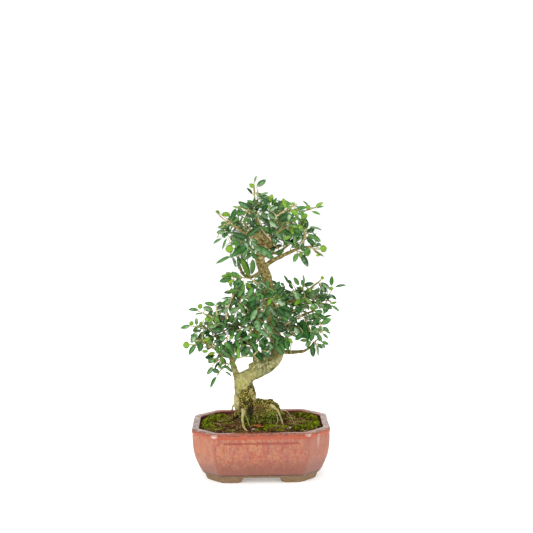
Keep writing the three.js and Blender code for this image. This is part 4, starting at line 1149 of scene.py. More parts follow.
# Leaves that show clearly, in pixels: base, tip and width, then the tone from dark to young green.
CROWN_LEAVES = [
    (255, 226, 259.5, 219.5, 3.6, 0.35), (297, 214, 304, 213.5, 2.6, 0.55),
    (222, 234, 225, 237.5, 2.6, 0.3), (261, 198, 258, 193, 2.6, 0.2), (301, 251, 300.5, 257.5, 3.4, 0.6),
    (277, 284, 272, 281, 2.4, 0.2), (284.5, 286, 281, 283, 2.2, 0.3), (292, 284.5, 288, 280, 2.6, 0.25),
    (307, 249, 305, 256, 4, 0.32), (310.5, 249, 307, 256, 3, 0.66), (313, 237, 320, 241, 4, 0.25),
    (307.5, 234, 314, 238.5, 3.6, 0.65), (309, 240, 313.5, 245.5, 3.2, 0.12),
    (320.5, 255.3, 316, 255.3, 1.6, 0.85), (297, 249, 296.5, 242.5, 4.4, 0.55),
    (313.5, 246.5, 319, 245, 2, 0.6), (286, 236, 291, 237, 3.4, 0.6), (240, 247, 233.5, 240.5, 4.6, 0.45),
    (233, 222, 239, 218, 3.6, 0.4), (243, 222, 248, 218, 3.4, 0.5), (271, 224, 277, 219.5, 4, 0.45),
    (281, 226, 286, 221, 3.6, 0.5), (254, 218, 259, 213, 3.6, 0.4), (254.3, 183, 256.7, 176, 1.2, 0.6),
    (256, 187, 265.5, 180, 4.6, 0.3), (255, 188, 249.5, 184, 3.5, 0.75),
    (253.2, 195, 247.2, 188, 1.8, 0.15), (259.5, 195.3, 268, 192.5, 1.5, 0.5),
    (257.5, 197, 257.5, 191.5, 1.6, 0.7), (257.5, 200, 267.5, 196, 4.6, 0.25),
    (266.5, 206, 265, 199, 3.5, 0.95), (269.5, 203.5, 272, 194.5, 4.6, 0.8),
    (271, 206, 277, 198.5, 2.5, 0.5), (256, 204.5, 247.5, 200, 2, 0.5), (249, 209, 239, 202, 4.6, 0.25),
    (254, 209.5, 247.5, 202.5, 4.4, 0.1), (240, 209, 233, 206, 1.4, 0.6), (231, 214.5, 222, 214, 4, 0.75),
    (231.5, 220, 235.5, 209, 4.4, 0.3), (248, 212.5, 236, 213.5, 4, 0.35), (220, 213.5, 216, 211, 2.6, 0.4),
    (227, 224.5, 221, 223, 4, 0.4), (228, 226.5, 218, 227.5, 3.4, 0.35), (226, 231.5, 217, 232.5, 4, 0.4),
    (229, 224.5, 226, 231, 3.6, 0.2), (222, 238.5, 213.5, 242.5, 1.9, 0.3),
    (227.5, 237.5, 222, 249, 1.7, 0.45), (228, 235.5, 246.5, 243.5, 7.6, 0.3),
    (231, 233, 248, 239, 5, 0.12), (234.6, 248.4, 225.6, 249.2, 7.4, 0.7), (248, 244, 232, 256, 6.6, 0.28),
    (232, 256.5, 216.5, 263.5, 2.8, 0.45), (232.4, 256, 235.3, 266.5, 2.4, 0.4),
    (238, 254, 239, 268, 3, 0.15), (237.8, 256.5, 252.3, 276.5, 6.4, 0.6), (252.4, 258, 253, 274, 4.6, 0.5),
    (251, 246, 273.5, 257, 7.4, 0.3), (252, 253, 257, 259, 4, 0.25), (266, 257.3, 273.5, 256.8, 3, 0.5),
    (275.5, 255, 283.5, 250.5, 3.4, 0.45), (283.5, 239.5, 290, 236.5, 3.4, 0.6),
    (284, 246, 286.5, 240, 3, 0.35), (297.5, 242, 292.5, 247.5, 4, 0.3),
    (297.5, 252.5, 294, 261.5, 4.2, 0.5), (300, 253, 308.5, 266, 5, 0.12),
    (302.5, 252, 302.5, 243, 3.6, 0.2), (303.5, 255, 309, 248, 5, 0.45),
    (319.5, 249.5, 326.5, 248, 6.4, 0.7), (313, 250, 323.5, 256.5, 1.5, 0.3),
    (309, 234.5, 320.5, 241, 4, 0.45), (306, 238, 315, 244.5, 4, 0.3), (308.5, 233, 314, 227.5, 4.4, 0.15),
    (308, 226.5, 322, 228.5, 1.3, 0.45), (307, 229, 306, 219, 3.4, 0.15),
    (304, 230.5, 302.5, 221, 3.6, 0.25), (300.5, 219, 307, 214.5, 4.8, 0.65),
    (306, 209.5, 309.5, 205.5, 3.8, 0.7), (296, 208.3, 306, 207.5, 3, 0.35),
    (297.5, 213.5, 305.5, 210.5, 2.2, 0.4), (291, 209, 297.5, 214.5, 5.2, 0.65),
    (286.5, 209, 283, 198.5, 4.4, 0.7), (284.5, 200.5, 290, 204.5, 2.2, 0.4),
    (290.5, 204.5, 294.5, 203, 2, 0.7), (315, 207.3, 322.5, 202.5, 2.8, 0.75),
    (316, 208.5, 323.5, 205.5, 1.2, 0.5), (311, 211, 320, 214.7, 1.8, 0.55),
    (308.5, 206.5, 304, 201, 1, 0.4), (277.5, 221.5, 288.5, 214, 7, 0.15),
    (288.5, 222, 289, 212.5, 4.8, 0.22), (269, 221, 276.5, 227, 5, 0.22),
    (264, 233.5, 278, 230.5, 3.8, 0.35), (276, 231, 281, 238.5, 4.8, 0.28), (251, 231, 259, 226, 4, 0.4),
    (262, 226.5, 268.5, 231.5, 4, 0.45), (260.5, 212.5, 267.5, 218, 5, 0.3),
    (268, 213.5, 275, 218.5, 5.4, 0.15), (261.5, 212, 267.5, 205, 4.4, 0.1),
    (255.5, 205.5, 263, 207.5, 3, 0.5), (269.5, 210.5, 277.5, 206.5, 4, 0.25),
    (292.5, 227.5, 300, 233, 4, 0.4), (283.5, 229, 288.5, 236, 4, 0.28), (296, 230, 303.5, 239, 4.4, 0.1),
    (297.5, 224, 302.5, 228, 1.8, 0.95), (258, 247, 251.5, 241.5, 4.4, 0.25),
    (257.5, 243.5, 251.5, 238.5, 3.4, 0.3), (251, 250, 246, 243.5, 4, 0.2), (229, 233, 222, 236, 3.4, 0.25),
    (256, 252.5, 250.5, 249, 3.4, 0.25), (248, 225, 250, 218.5, 3, 0.4),
    (231.5, 229.5, 226.5, 232.5, 2.4, 0.3), (306.5, 233, 309.5, 229, 2.4, 0.3),
    (316, 243, 321, 245.5, 2.6, 0.3), (230.5, 252.5, 231.5, 258, 2, 0.5),
    (269, 210.5, 269.3, 204, 2.2, 0.6), (288, 210, 288.5, 205, 2, 0.5),
    (276, 245.5, 274.5, 241.5, 2.2, 0.35),
]
LEFT_LEAVES = [
    (212, 331, 202, 333.5, 3.4, 0.3), (202, 330.5, 194, 331.5, 2.4, 0.25), (228, 334, 218.5, 335.2, 3, 0.2),
    (252, 358, 250, 351, 3, 0.3), (201, 325, 193, 329.5, 2.4, 0.35), (224, 303, 216.5, 304, 3, 0.4),
    (231, 306, 234, 301, 3.4, 0.3), (222, 353, 217.5, 358, 3, 0.15), (196, 338, 191, 335, 2.6, 0.4),
    (216, 355.5, 205.3, 357.8, 3, 0.1), (214.5, 357.5, 208.5, 362.5, 5, 0.35),
    (222, 362, 219.5, 367.5, 2, 0.6), (222.5, 357, 226.5, 364.5, 2.4, 0.25),
    (238.8, 346, 238, 358.5, 3.6, 0.62), (230.5, 314, 229.4, 304, 2.6, 0.4),
    (221, 341, 221.5, 353, 2.8, 0.35), (216, 344.5, 218, 353.5, 3.4, 0.42),
    (205, 346.5, 212, 343, 2.8, 0.3), (216, 352.5, 208, 354.5, 2.6, 0.9),
    (206, 347.6, 209.4, 349, 2.2, 0.2), (235, 279.5, 228, 282.8, 2.8, 0.85),
    (237, 277, 232, 272, 2.8, 0.15), (235.5, 277.5, 242, 277.5, 4.4, 0.55), (236, 278, 242, 284, 4.2, 0.2),
    (236, 291.5, 229.5, 290.5, 4.2, 0.65), (238, 297, 242.5, 290.5, 4, 0.4),
    (244, 273, 240.5, 272.5, 2, 0.2), (230, 300, 222, 305, 4.4, 0.35), (243, 299, 246, 304, 4.6, 0.45),
    (234, 355, 229, 349.5, 4.6, 0.4), (229, 340, 233.5, 335, 3, 0.62), (205, 337, 209, 333.5, 2, 0.2),
    (203, 341.5, 210, 338, 3.4, 0.8), (226, 337, 220, 339.5, 4.6, 0.3), (236, 340, 239, 348, 4, 0.38),
    (235, 277, 226, 272.5, 3, 0.6), (233, 276.4, 221.5, 276.4, 3.6, 0.6),
    (233, 277.5, 219.8, 281.4, 5.2, 0.3), (240, 276, 232, 273, 3.4, 0.5), (236.5, 281, 236, 290.5, 4, 0.28),
    (243.5, 281, 242, 296, 4, 0.55), (245, 282.5, 251.5, 288.5, 3, 0.75), (234, 292.3, 224, 292, 3, 0.12),
    (239, 290.5, 231, 290, 3.4, 0.4), (235, 293, 241, 300, 4, 0.2), (233, 298.3, 222, 298.8, 2.4, 0.25),
    (229.5, 299, 224.5, 305, 4.2, 0.4), (216, 304.9, 205, 303, 3.8, 0.4), (223, 306, 217, 308.5, 3.6, 0.3),
    (213.5, 310.5, 203.5, 307.5, 4.8, 0.4), (199, 309.3, 201, 304, 4, 0.7),
    (199, 309.8, 189, 309.3, 2.9, 0.35), (203, 313.5, 195.5, 314.5, 1.1, 0.4),
    (213, 311, 208, 315.5, 3, 0.5), (211, 319.3, 204.5, 319, 2.4, 0.75), (196.5, 326, 196.5, 318, 2.8, 0.4),
    (191, 325.2, 181, 328.2, 3.4, 0.4), (193.5, 325.5, 190, 321.8, 4, 0.65),
    (199, 327, 202.5, 321.5, 1.9, 0.6), (197.5, 328, 193, 331.2, 1.7, 0.5),
    (196, 331.5, 191.7, 342.5, 5, 0.28), (203.5, 330, 198.5, 345, 5.6, 0.28),
    (190.5, 345, 183, 345, 6.4, 0.68), (196.5, 343.5, 189, 354.5, 4, 0.35),
    (202.5, 341.5, 199, 352, 4.6, 0.28), (201.5, 351, 207.5, 351.5, 2.8, 0.6),
    (215, 358.7, 205.5, 357.5, 3.2, 0.2), (213.5, 366.5, 207.5, 374, 3.8, 0.28),
    (220, 372.3, 212, 369.5, 3.8, 0.2), (217.5, 376, 210, 387, 2.8, 0.35), (220, 361, 215, 369, 1.8, 0.1),
    (218.5, 356.5, 214, 363.5, 3.6, 0.5), (224, 365, 232, 371.5, 2.4, 0.35),
    (224, 371, 231.5, 376.2, 1.1, 0.4), (221, 355.5, 223, 364.5, 3.6, 0.6), (230, 363, 235, 365, 2.8, 0.6),
    (224.5, 329.8, 211, 331, 5.8, 0.15), (226.5, 317.5, 221.5, 330, 4, 0.38),
    (228.5, 313.5, 239, 307.5, 4.6, 0.4), (231.5, 320, 240.5, 335.5, 4.6, 0.25),
    (233.5, 313.5, 230, 322, 4.4, 0.4), (237.2, 310, 241.4, 321, 5, 0.18),
    (215.5, 334.5, 222.5, 342, 5, 0.15), (223.5, 342, 232, 349, 5.4, 0.35),
    (240.5, 331, 235, 340, 4.4, 0.3), (250.5, 345.5, 242, 356, 7.6, 0.3),
    (226.5, 345, 233.5, 353.5, 4.2, 0.3), (232, 338, 230, 331, 2.8, 0.55),
    (207, 322.3, 213.5, 319, 2.8, 0.6), (240, 280, 233, 284.5, 4, 0.25),
    (243.5, 281.5, 237.5, 287, 3.4, 0.3), (207, 327.5, 213, 323.5, 2.8, 0.6),
    (209, 334, 212.5, 342, 4, 0.2), (217, 325.5, 209, 327.5, 3.6, 0.45), (221, 313, 227.5, 309, 3.6, 0.3),
    (214.5, 316, 219, 322, 3.6, 0.5), (234, 354, 236.5, 359.5, 2.8, 0.35),
    (241, 329, 240.5, 333.5, 2.4, 0.3), (254, 283.5, 247, 281.3, 2, 0.35),
]
MIDDLE_LEAVES = [
    (258.5, 328.5, 268.5, 337, 4.8, 0.35), (282, 343, 289, 349.5, 3, 0.3), (270, 352, 265, 357, 3.6, 0.2),
    (262.5, 321.5, 272.5, 333.5, 5.4, 0.3), (262, 331.5, 250.5, 335.5, 4.6, 0.4),
    (251, 336, 243, 340, 4, 0.3), (266, 328, 270.5, 330.5, 2.6, 0.85), (267, 341, 273, 348, 4.2, 0.15),
    (279, 321, 272, 316.5, 4, 0.3), (284, 323, 292, 326, 4.4, 0.2), (282, 313, 287.5, 321, 4.6, 0.35),
    (264, 312, 258, 317, 4, 0.2), (258, 352, 252, 343, 4.4, 0.25), (276, 345, 279, 338, 3.4, 0.45),
    (268, 304.5, 273, 312, 4.2, 0.3), (250, 326, 244, 331, 3.8, 0.35), (258.5, 340, 264, 345.5, 3.8, 0.4),
    (266, 293.5, 268, 281, 5.2, 0.4), (273, 290.5, 279.5, 282, 4.4, 0.2), (257, 287, 249, 285, 3.4, 0.15),
    (261, 281.5, 258, 275.5, 3, 0.3), (247.5, 297.5, 253, 288, 5.6, 0.42), (255, 292.5, 263, 297.5, 4, 0.5),
    (275.5, 295, 285, 286.5, 5, 0.15), (282.5, 291, 290.5, 297.5, 5.6, 0.1),
    (269, 298.5, 279.5, 301.5, 5, 0.42), (256, 299, 250.5, 306.5, 5.6, 0.2),
    (262, 300, 260, 309.5, 5.6, 0.1), (235.5, 308.5, 243, 304, 4, 0.3), (247, 301.5, 256, 297, 4, 0.3),
    (257.6, 307.5, 250.6, 320.5, 6.4, 0.28), (262.5, 323, 269.5, 308.5, 5.2, 0.32),
    (271, 319, 275, 326, 3.6, 0.42), (277, 300, 287, 306, 6.4, 0.1), (280, 309.5, 291, 317, 6, 0.12),
    (290, 299.5, 298, 306, 5.6, 0.12), (272.5, 327, 285, 331, 5.8, 0.1),
    (285.5, 335.5, 289.5, 346.5, 4, 0.3), (272.5, 342.5, 283.5, 354.5, 4.8, 0.35),
    (269.5, 344.5, 261.5, 354.5, 4.6, 0.28), (267, 335, 259.5, 347.5, 5.4, 0.33),
    (252.5, 347, 262.5, 361, 5.6, 0.15), (247.5, 333, 257, 336.5, 3.8, 0.4),
    (278.5, 334.5, 287, 344, 4.6, 0.3), (263, 327.5, 257.5, 322, 3.6, 0.3),
    (246.5, 323, 254, 328.5, 4.4, 0.35), (284.5, 340, 288.5, 350, 3.6, 0.3),
    (279.5, 341, 284.5, 350, 3.4, 0.38), (281, 306, 291, 310.5, 5, 0.12),
    (287, 303, 279.5, 309.5, 4.5, 0.15), (282, 333, 291.5, 335.5, 4.6, 0.15),
    (276, 322, 284, 327.5, 4.6, 0.12), (270, 333.5, 279, 340, 4.6, 0.3), (273, 337, 282, 344.5, 5, 0.22),
    (276, 307, 284, 315, 4.6, 0.12), (271, 309, 278, 317.5, 4.6, 0.2), (268.5, 338, 261, 349, 3.6, 0.3),
    (270.5, 345.5, 269.5, 353, 2.4, 0.3), (264.5, 305.5, 263.5, 311, 2, 0.3),
    (288, 318.5, 291.5, 320, 2.2, 0.3), (293.5, 316.5, 297, 313.5, 2.4, 0.2),
]
RIGHT_LEAVES = [
    (314, 332, 310.5, 341, 4, 0.3), (326, 303, 331.5, 309, 3.6, 0.3), (276, 315, 283, 314, 2.4, 0.35),
    (301, 311, 305, 306, 3, 0.25), (317, 325, 320, 321.5, 3, 0.4), (321, 344, 325, 347.5, 2.4, 0.25),
    (321, 324, 330.5, 319, 5, 0.38), (320, 328.5, 311.5, 333.5, 6, 0.36), (316, 330, 320.5, 341, 2.8, 0.15),
    (289, 337.5, 291.5, 343, 3, 0.68), (289.5, 331, 288.5, 337, 2.4, 0.5), (313, 320, 316, 326, 3.8, 0.1),
    (318, 320, 314, 313, 3.4, 0.5), (294, 327, 300, 334, 5, 0.2), (304, 319, 300, 326, 4.4, 0.2),
    (285, 337, 288, 345, 4.4, 0.4), (289, 284, 284.5, 275.5, 1.7, 0.15),
    (299.5, 286, 294, 277.5, 3.6, 0.45), (304.5, 284, 303, 275, 1.5, 0.5),
    (302, 286.5, 313.5, 283, 3.8, 0.15), (320.5, 279, 323.5, 277, 3, 0.75), (320, 282, 330, 289, 3.2, 0.15),
    (321, 284, 325.5, 292.5, 4.6, 0.2), (331.3, 286.5, 332, 276.5, 3.6, 0.35),
    (334, 287.7, 345.5, 284, 1.8, 0.3), (329, 289.3, 332.5, 287.5, 2.8, 0.7),
    (328, 294.3, 336.5, 299, 2.8, 0.12), (331, 304, 336.5, 302, 1.8, 0.7),
    (330, 305, 339.5, 311.3, 1.9, 0.45), (321, 319, 331.5, 315, 1.7, 0.35),
    (321, 323, 330.5, 319, 3.6, 0.3), (322, 327, 328.5, 331, 3.6, 0.3),
    (325, 330.3, 330.5, 333.5, 1.4, 0.4), (322, 333, 328, 338.5, 1.9, 0.3),
    (327, 303, 325, 312.5, 5.6, 0.35), (317, 298.5, 325, 300, 4.6, 0.2),
    (309, 306, 315.5, 311.5, 2.8, 0.85), (310, 313.4, 326.5, 316.4, 2.8, 0.35),
    (304, 319, 308.7, 340, 7, 0.24), (295.5, 320.5, 307, 338, 6, 0.15), (291, 323.5, 300.5, 333.5, 5, 0.15),
    (290, 333, 297.5, 337.5, 1.9, 0.5), (303, 332.5, 295.5, 340, 4.6, 0.2),
    (311, 324.5, 318, 336, 5.8, 0.2), (318, 333, 321.5, 341.5, 2.8, 0.35),
    (308.5, 341, 300.5, 340, 2.4, 0.6), (309, 340, 307.3, 347.5, 3.2, 0.55),
    (312, 343.5, 313.5, 357, 4.8, 0.15), (316.5, 344, 318, 356, 1.2, 0.5),
    (317, 343, 322.5, 348.5, 2.8, 0.3), (321, 341.5, 328.5, 344.2, 2.8, 0.5),
    (293, 289.5, 299.5, 300, 4.6, 0.35), (303, 289.5, 308.5, 298, 4.6, 0.28),
    (309.5, 292.5, 305, 301, 4, 0.3), (295.5, 304.5, 302, 310, 4.6, 0.3),
    (302, 313, 295.5, 307.5, 4.4, 0.25), (319, 309, 311, 304.5, 4.4, 0.42),
    (323, 312.5, 315, 311.5, 4, 0.3), (290, 315.5, 297, 323, 4.6, 0.3),
    (311.5, 341, 305.5, 345.5, 3.8, 0.45), (315, 343, 310.5, 349.5, 3.2, 0.25),
    (317.5, 314.5, 326, 318.5, 3.4, 0.3), (320, 318.5, 313, 323, 3.8, 0.3),
    (306.5, 321, 312.5, 325, 3.6, 0.25), (319.5, 322.5, 325.5, 323.8, 2.4, 0.3),
    (320.5, 333.5, 319.5, 326, 2.4, 0.3), (293.5, 289.5, 289, 284, 2.4, 0.25),
    (303.5, 287, 301.8, 280, 2.6, 0.4),
]
CLEAR_LEAVES = CROWN_LEAVES + LEFT_LEAVES + MIDDLE_LEAVES + RIGHT_LEAVES
BACK_LEAVES = 2  # a leaf further back than this may be behind a clear one
TWIG_STRIP = 5  # how wide the leaves leave the pale twigs clear, in pixels
CLEAR_SEED = 77
OPEN_DEPTH = 100  # behind all of the tree: no limit
BOUGH_GAP = 1.5  # how far in front of the bough's skin a clear leaf stays
WOOD_GAP = 1.5  # how far in front of the wood that carries it a clear leaf starts
TIP_LEAN = (-0.45, 0.2)  # how far back or forward its tip lies, as shares of its length
NATURAL_WIDTH = 0.4  # least width of a leaf, as a share of its length
STALK_LIMIT = 1.6  # a clear leaf further than this from the wood has a stalk
STALK_RADIUS = (0.6, 0.4)
# How twigs that show clearly are made: radii, how far forward they start from the wood, how much further
# forward each step leads, and their tone.
PALE_TWIG = {"radii": (1.6, 1.1), "forward": 8, "step_forward": 2, "tone": 1}
THIN_TWIG = {"radii": (1.25, 0.85), "forward": 0, "step_forward": 3, "tone": 0}
# Twigs that show clearly, as pixels from the wood to the tip: thick pale ones, then thin ones.
PALE_TWIGS = [
    [(226.2, 318.5), (227, 311), (232.8, 295.2)], [(251, 344.5), (244, 340), (236.5, 335.5)],
    [(217.5, 318), (216.5, 312), (216, 304.5)], [(272.5, 334), (267, 331), (261.5, 327)],
    [(287, 323.5), (293, 320), (302, 315)], [(319, 318.5), (321, 326), (322.5, 333)],
    [(252.5, 334), (250.5, 331), (248.5, 328)], [(270.5, 239), (264, 232), (260, 222), (256.4, 214)],
]
CLEAR_TWIGS = [
    [(276, 217), (283, 212), (297, 204)], [(302.6, 243), (305, 234), (307, 225)],
    [(226, 221), (220, 216), (215.7, 211.4)], [(219.3, 322), (211, 316.5), (202.7, 313)],
    [(308.6, 290), (315, 284), (320.7, 280.5)], [(249.5, 344.5), (244.5, 339.5), (240, 338)],
    [(248.5, 311.5), (245, 306), (242, 304)], [(284, 349), (283.5, 343), (281, 338)],
    [(247, 340), (250, 331.5), (254, 326)], [(231.5, 317), (231, 310), (233, 303)],
    [(268, 297), (262, 299.5), (250, 299.5)], [(278, 233), (285, 227), (293, 223.5)],
    [(250, 214), (244, 208.5), (238, 206)], [(299.5, 246), (303.5, 236), (304.5, 227)],
    [(255.5, 203), (254.3, 196), (253.9, 187)], [(258, 204), (257.6, 198), (257.8, 190)],
    [(227, 363), (223.5, 367.5), (219.5, 371.5), (218, 375)], [(252, 356), (244, 356.5), (238, 358.5)],
    [(288.5, 330), (292, 333), (296.5, 336)], [(316, 341), (319, 338), (320, 336)],
    [(312, 248), (317, 251.5), (322.5, 255.5)], [(241, 262), (237, 266), (235, 266)],
    [(257, 283), (249, 278.6), (241, 277.6)], [(300, 212), (307.5, 210), (316, 207.3)],
    [(307, 246.3), (313.5, 248.4), (319.5, 249.3)], [(197, 345.2), (193, 344.6), (189.5, 345)],
    [(264, 240), (261.3, 235.6), (256, 232.6)], [(257, 258), (250.5, 254.4), (242, 253.6)],
]
# Centre and half size of each place in the crown where bare wood shows, in pixels.
BARE_WOOD = [
    (237, 229, 6, 3.5), (246, 234, 7, 4.5), (265.5, 241.5, 8.5, 8.5), (268, 219, 2.5, 5),
    (258, 229, 2.5, 7),
]


def random_from(seed):
    """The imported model's small repeatable random generator."""
    state = seed
    limit = 0xFFFFFFFF

    def draw():
        nonlocal state
        state = (state + 0x6D2B79F5) & limit
        mixed = ((state ^ (state >> 15)) * (state | 1)) & limit
        mixed ^= (mixed + (((mixed ^ (mixed >> 7)) * (mixed | 61)) & limit)) & limit
        return ((mixed ^ (mixed >> 14)) & limit) / (limit + 1)

    return draw


def turned(direction, turn):
    """A direction square to another, turned about it; zero is level."""
    level, _ = across(direction)
    return level * math.cos(turn) + level.cross(direction) * math.sin(turn)


def shoot_curve(start, tip, draw):
    """A shoot, bowed a little upwards or sideways."""
    span = tip - start
    bow = turned(span.normalized(), math.pi * (0.2 + 0.6 * draw()))
    middle = (start + tip) / 2 + bow * span.length * BOW
    t = np.linspace(0, 1, 25)[:, None]
    return Curve((1 - t)**2 * np.array(start) + 2 * t * (1 - t) * np.array(middle) + t**2 * np.array(tip))


def shoots_of(limb, place, tips, draw):
    """The shoots of a spray: the leader from the limb, the others from along the leader."""
    start = Curve(smooth_line(LIMBS[limb])).at(place)
    leader = shoot_curve(start, Vector(tips[0]), draw)
    starts = [leader.at(0.22 + 0.16 * k) for k in range(len(tips) - 1)]
    return [leader, *(shoot_curve(start, Vector(tip), draw) for start, tip in zip(starts, tips[1:]))]


def side_shoots(shoot, chance):
    """Short shoots from the joints of a longer one."""
    shoots = []
    count = max(2, round(shoot.length / NODE_SPACING))
    for k in range(count):
        if chance.random() < SIDE_SHOOTS:
            t = LAST_NODE * (k + 0.5) / count
            along = shoot.along(t)
            way = along * 0.5 + turned(along, chance.uniform(0, 2 * math.pi)) + UP * 0.2
            tip = shoot.at(t) + way.normalized() * chance.uniform(8, 15)
            shoots.append(shoot_curve(shoot.at(t), tip, chance.random))
    return shoots


def spurs_of(limb, chance):
    """Short shoots straight from the thin wood of a limb."""
    line = Curve(smooth_line(LIMBS[limb]))
    shoots = []
    for reach in np.arange(SPUR_SPACING, line.length, SPUR_SPACING):
        t = reach / line.length
        if line.rows(t)[3] < SPUR_WOOD:
            way = turned(line.along(t), chance.uniform(0, 2 * math.pi)) + line.along(t) * 0.3 + UP * 0.3
            tip = line.at(t) + way.normalized() * chance.uniform(11, 20)
            shoots.append(shoot_curve(line.at(t), tip, chance.random))
    return shoots


def leaves_of(shoot, size, draw):
    """Opposite pairs of leaves along a shoot, each pair turned a quarter from the last."""
    leaves = []
    count = max(2, round(shoot.length / NODE_SPACING))
    turn = 0.8 * (draw() - 0.5)
    for k in range(1, count + 1):
        t = LAST_NODE * k / count
        base, along = shoot.at(t), shoot.along(t)
        side = turned(along, turn)
        outward = Vector((base.x - 10, base.y, 0)).normalized()
        for sign in (-1, 1):
            spread = SPREAD[0] + (SPREAD[1] - SPREAD[0]) * t + 0.5 * (draw() - 0.5)
            direction = along * math.cos(spread) + side * sign * math.sin(spread) + UP * 0.12
            direction.normalize()
            face = UP * 0.7 + outward * 0.55 + turned(direction, 0) * 1.1 * (draw() - 0.5)
            length = size * (0.68 + 0.5 * draw()) * (LAST_PAIR if k == count else 1)
            leaves.append({"base": base, "direction": direction, "face": face, "length": length,
                           "last": k == count})
        turn += math.pi / 2 + 0.7 * (draw() - 0.5)
    return leaves


def leaf_template():
    """A leaf one long and one wide: place along it, place across it, which side, and its faces.

    Each station has five points over the top and three under it, and the leaf ends in one point.
    """
    stations = [0, 0.05, PETIOLE, 0.14, 0.21, 0.33, 0.47, 0.62, 0.76, 0.87, 0.94, 0.985]
    top, bottom = (-1, -0.5, 0, 0.5, 1), (-0.5, 0, 0.5)
    width = len(top) + len(bottom)
    under = [0, 5, 6, 7, 4]  # points of a station from edge to edge underneath
    rows = []
    for station in stations:
        rows += [(station, place, 0) for place in top] + [(station, place, 1) for place in bottom]
    rows.append((1, 0, 0))
    faces = []
    for i in range(len(stations) - 1):
        a, b = i * width, (i + 1) * width
        faces += [(a + k, a + k + 1, b + k + 1, b + k) for k in range(4)]
        faces += [(a + m, b + m, b + n, a + n) for m, n in zip(under, under[1:])]
    a, tip = (len(stations) - 1) * width, len(rows) - 1
    faces += [(a + k, a + k + 1, tip) for k in range(4)]
    faces += [(a + m, tip, a + n) for m, n in zip(under, under[1:])]
    faces.append((0, 5, 6, 7, 4, 3, 2, 1))
    return np.array(rows, float), faces


TEMPLATE, TEMPLATE_FACES = leaf_template()


def add_leaf(shape, leaf):
    """A leaf: folded along its midrib, bent along its length, thin, with a stalk."""
    direction = leaf["direction"]
    side = direction.cross(leaf["face"]).normalized()
    normal = side.cross(direction)
    length, half = leaf["length"], leaf["width"] / 2
    along, place, under = TEMPLATE.T
    blade = np.clip((along - PETIOLE) / (1 - PETIOLE), 0, 1)
    share = np.sin(math.pi * blade**0.9)**leaf["blunt"]
    share = np.where(along <= PETIOLE + 0.01, 0.35 / half, np.maximum(share, 0.02))
    x = length * along
    y = half * share * place
    fold = leaf["fold"] * half * share * np.abs(place)**1.4
    bend = -leaf["bend"] * length * along**2 + leaf["wave"] * half * np.sin(along * 7) * np.abs(place)
    thick = THICKNESS * under + 0.1 * (np.abs(place) < 0.9) * (1 - under)
    z = fold + bend - thick * np.minimum(1, share * 3)
    places = np.array(leaf["base"]) + np.outer(x, direction) + np.outer(y, side) + np.outer(z, normal)
    bloom = leaf["bloom"] * np.where(place * side.z <= 0, 1, 0.25)  # most on the half that faces the sky
    shape.add(places, TEMPLATE_FACES, 1, tone=leaf["tone"], bloom=bloom, along=along, across=place,
              underside=under)


def grown(leaf, chance):
    """Fills in the shape and tone of a leaf by chance, where they aren't given."""
    young = leaf.get("last") and chance.random() < YOUNG_SHARE
    leaf.setdefault("width", leaf["length"] * chance.uniform(0.38, 0.52))
    usual = chance.uniform(0.5, 0.78) if young else chance.triangular(0.02, 0.75, 0.32)
    # Painted shade: leaves deep inside a tier get a darker tone.
    leaf.setdefault("tone", usual * (1 - 0.9 * depth_in_tier(leaf["base"])))
    leaf["blunt"] = chance.uniform(0.5, 0.72)
    leaf["fold"] = chance.uniform(0.05, 0.42)
    leaf["bend"] = chance.uniform(-0.03, 0.16)
    leaf["wave"] = chance.uniform(-0.1, 0.1)
    leaf["bloom"] = chance.random()**2
    return leaf


def depth_in_tier(place):
    """How far a place lies inside a tier of leaves, from 0 at its edge to 1 in its middle."""
    deepest = 0
    for middle, radii in TIERS:
        offsets = [(p - m) / r for p, m, r in zip(place, middle, radii)]
        deepest = max(deepest, 1 - math.hypot(*offsets))
    return deepest


def add_twig(shape, curve, radii, seed, tone=0):
    """A thin round twig along a curve, with its radii at the start and the tip."""
    steps = np.linspace(0, 1, max(6, int(curve.length / 3)))
    widths = radii[0] + (radii[1] - radii[0]) * steps
    vertices, faces = tube(np.column_stack([curve.rows(steps)[:, :3], widths]), TWIG_SIDES, 0.15, seed)
    along = np.concatenate([np.repeat(steps, TWIG_SIDES), [0, 1]])
    shape.add(vertices, faces, 0, tone=tone, along=along)


def inside(u, v, edge):
    """Whether a pixel is inside a closed outline."""
    result = False
    for (u0, v0), (u1, v1) in zip(edge, edge[1:] + edge[:1]):
        if (v0 > v) != (v1 > v) and u < (u1 - u0) * (v - v0) / (v1 - v0) + u0:
            result = not result
    return result


def clear_strips():
    """What shows clearly, as strips: start, end and width in pixels."""
    twigs = [(*start, *end, TWIG_STRIP) for twig in PALE_TWIGS for start, end in zip(twig, twig[1:])]
    return np.array([leaf[:5] for leaf in CLEAR_LEAVES] + twigs)


STRIPS = clear_strips()


def on_clear_part(u, v):
    """Whether a pixel lies on the inner part of a clear leaf or twig."""
    starts, spans = STRIPS[:, :2], STRIPS[:, 2:4] - STRIPS[:, :2]
    offsets = (u, v) - starts
    share = np.clip((offsets * spans).sum(axis=1) / (spans**2).sum(axis=1), 0, 1)
    from_axis = np.linalg.norm(offsets - spans * share[:, None], axis=1)
    return (from_axis < 0.3 * STRIPS[:, 4] + 0.4).any()


def in_spots(u, v, spots):
    """Whether a pixel lies in one of several ovals, each with its centre and half size."""
    return any(((u - x) / wide)**2 + ((v - y) / high)**2 < 1 for x, y, wide, high in spots)


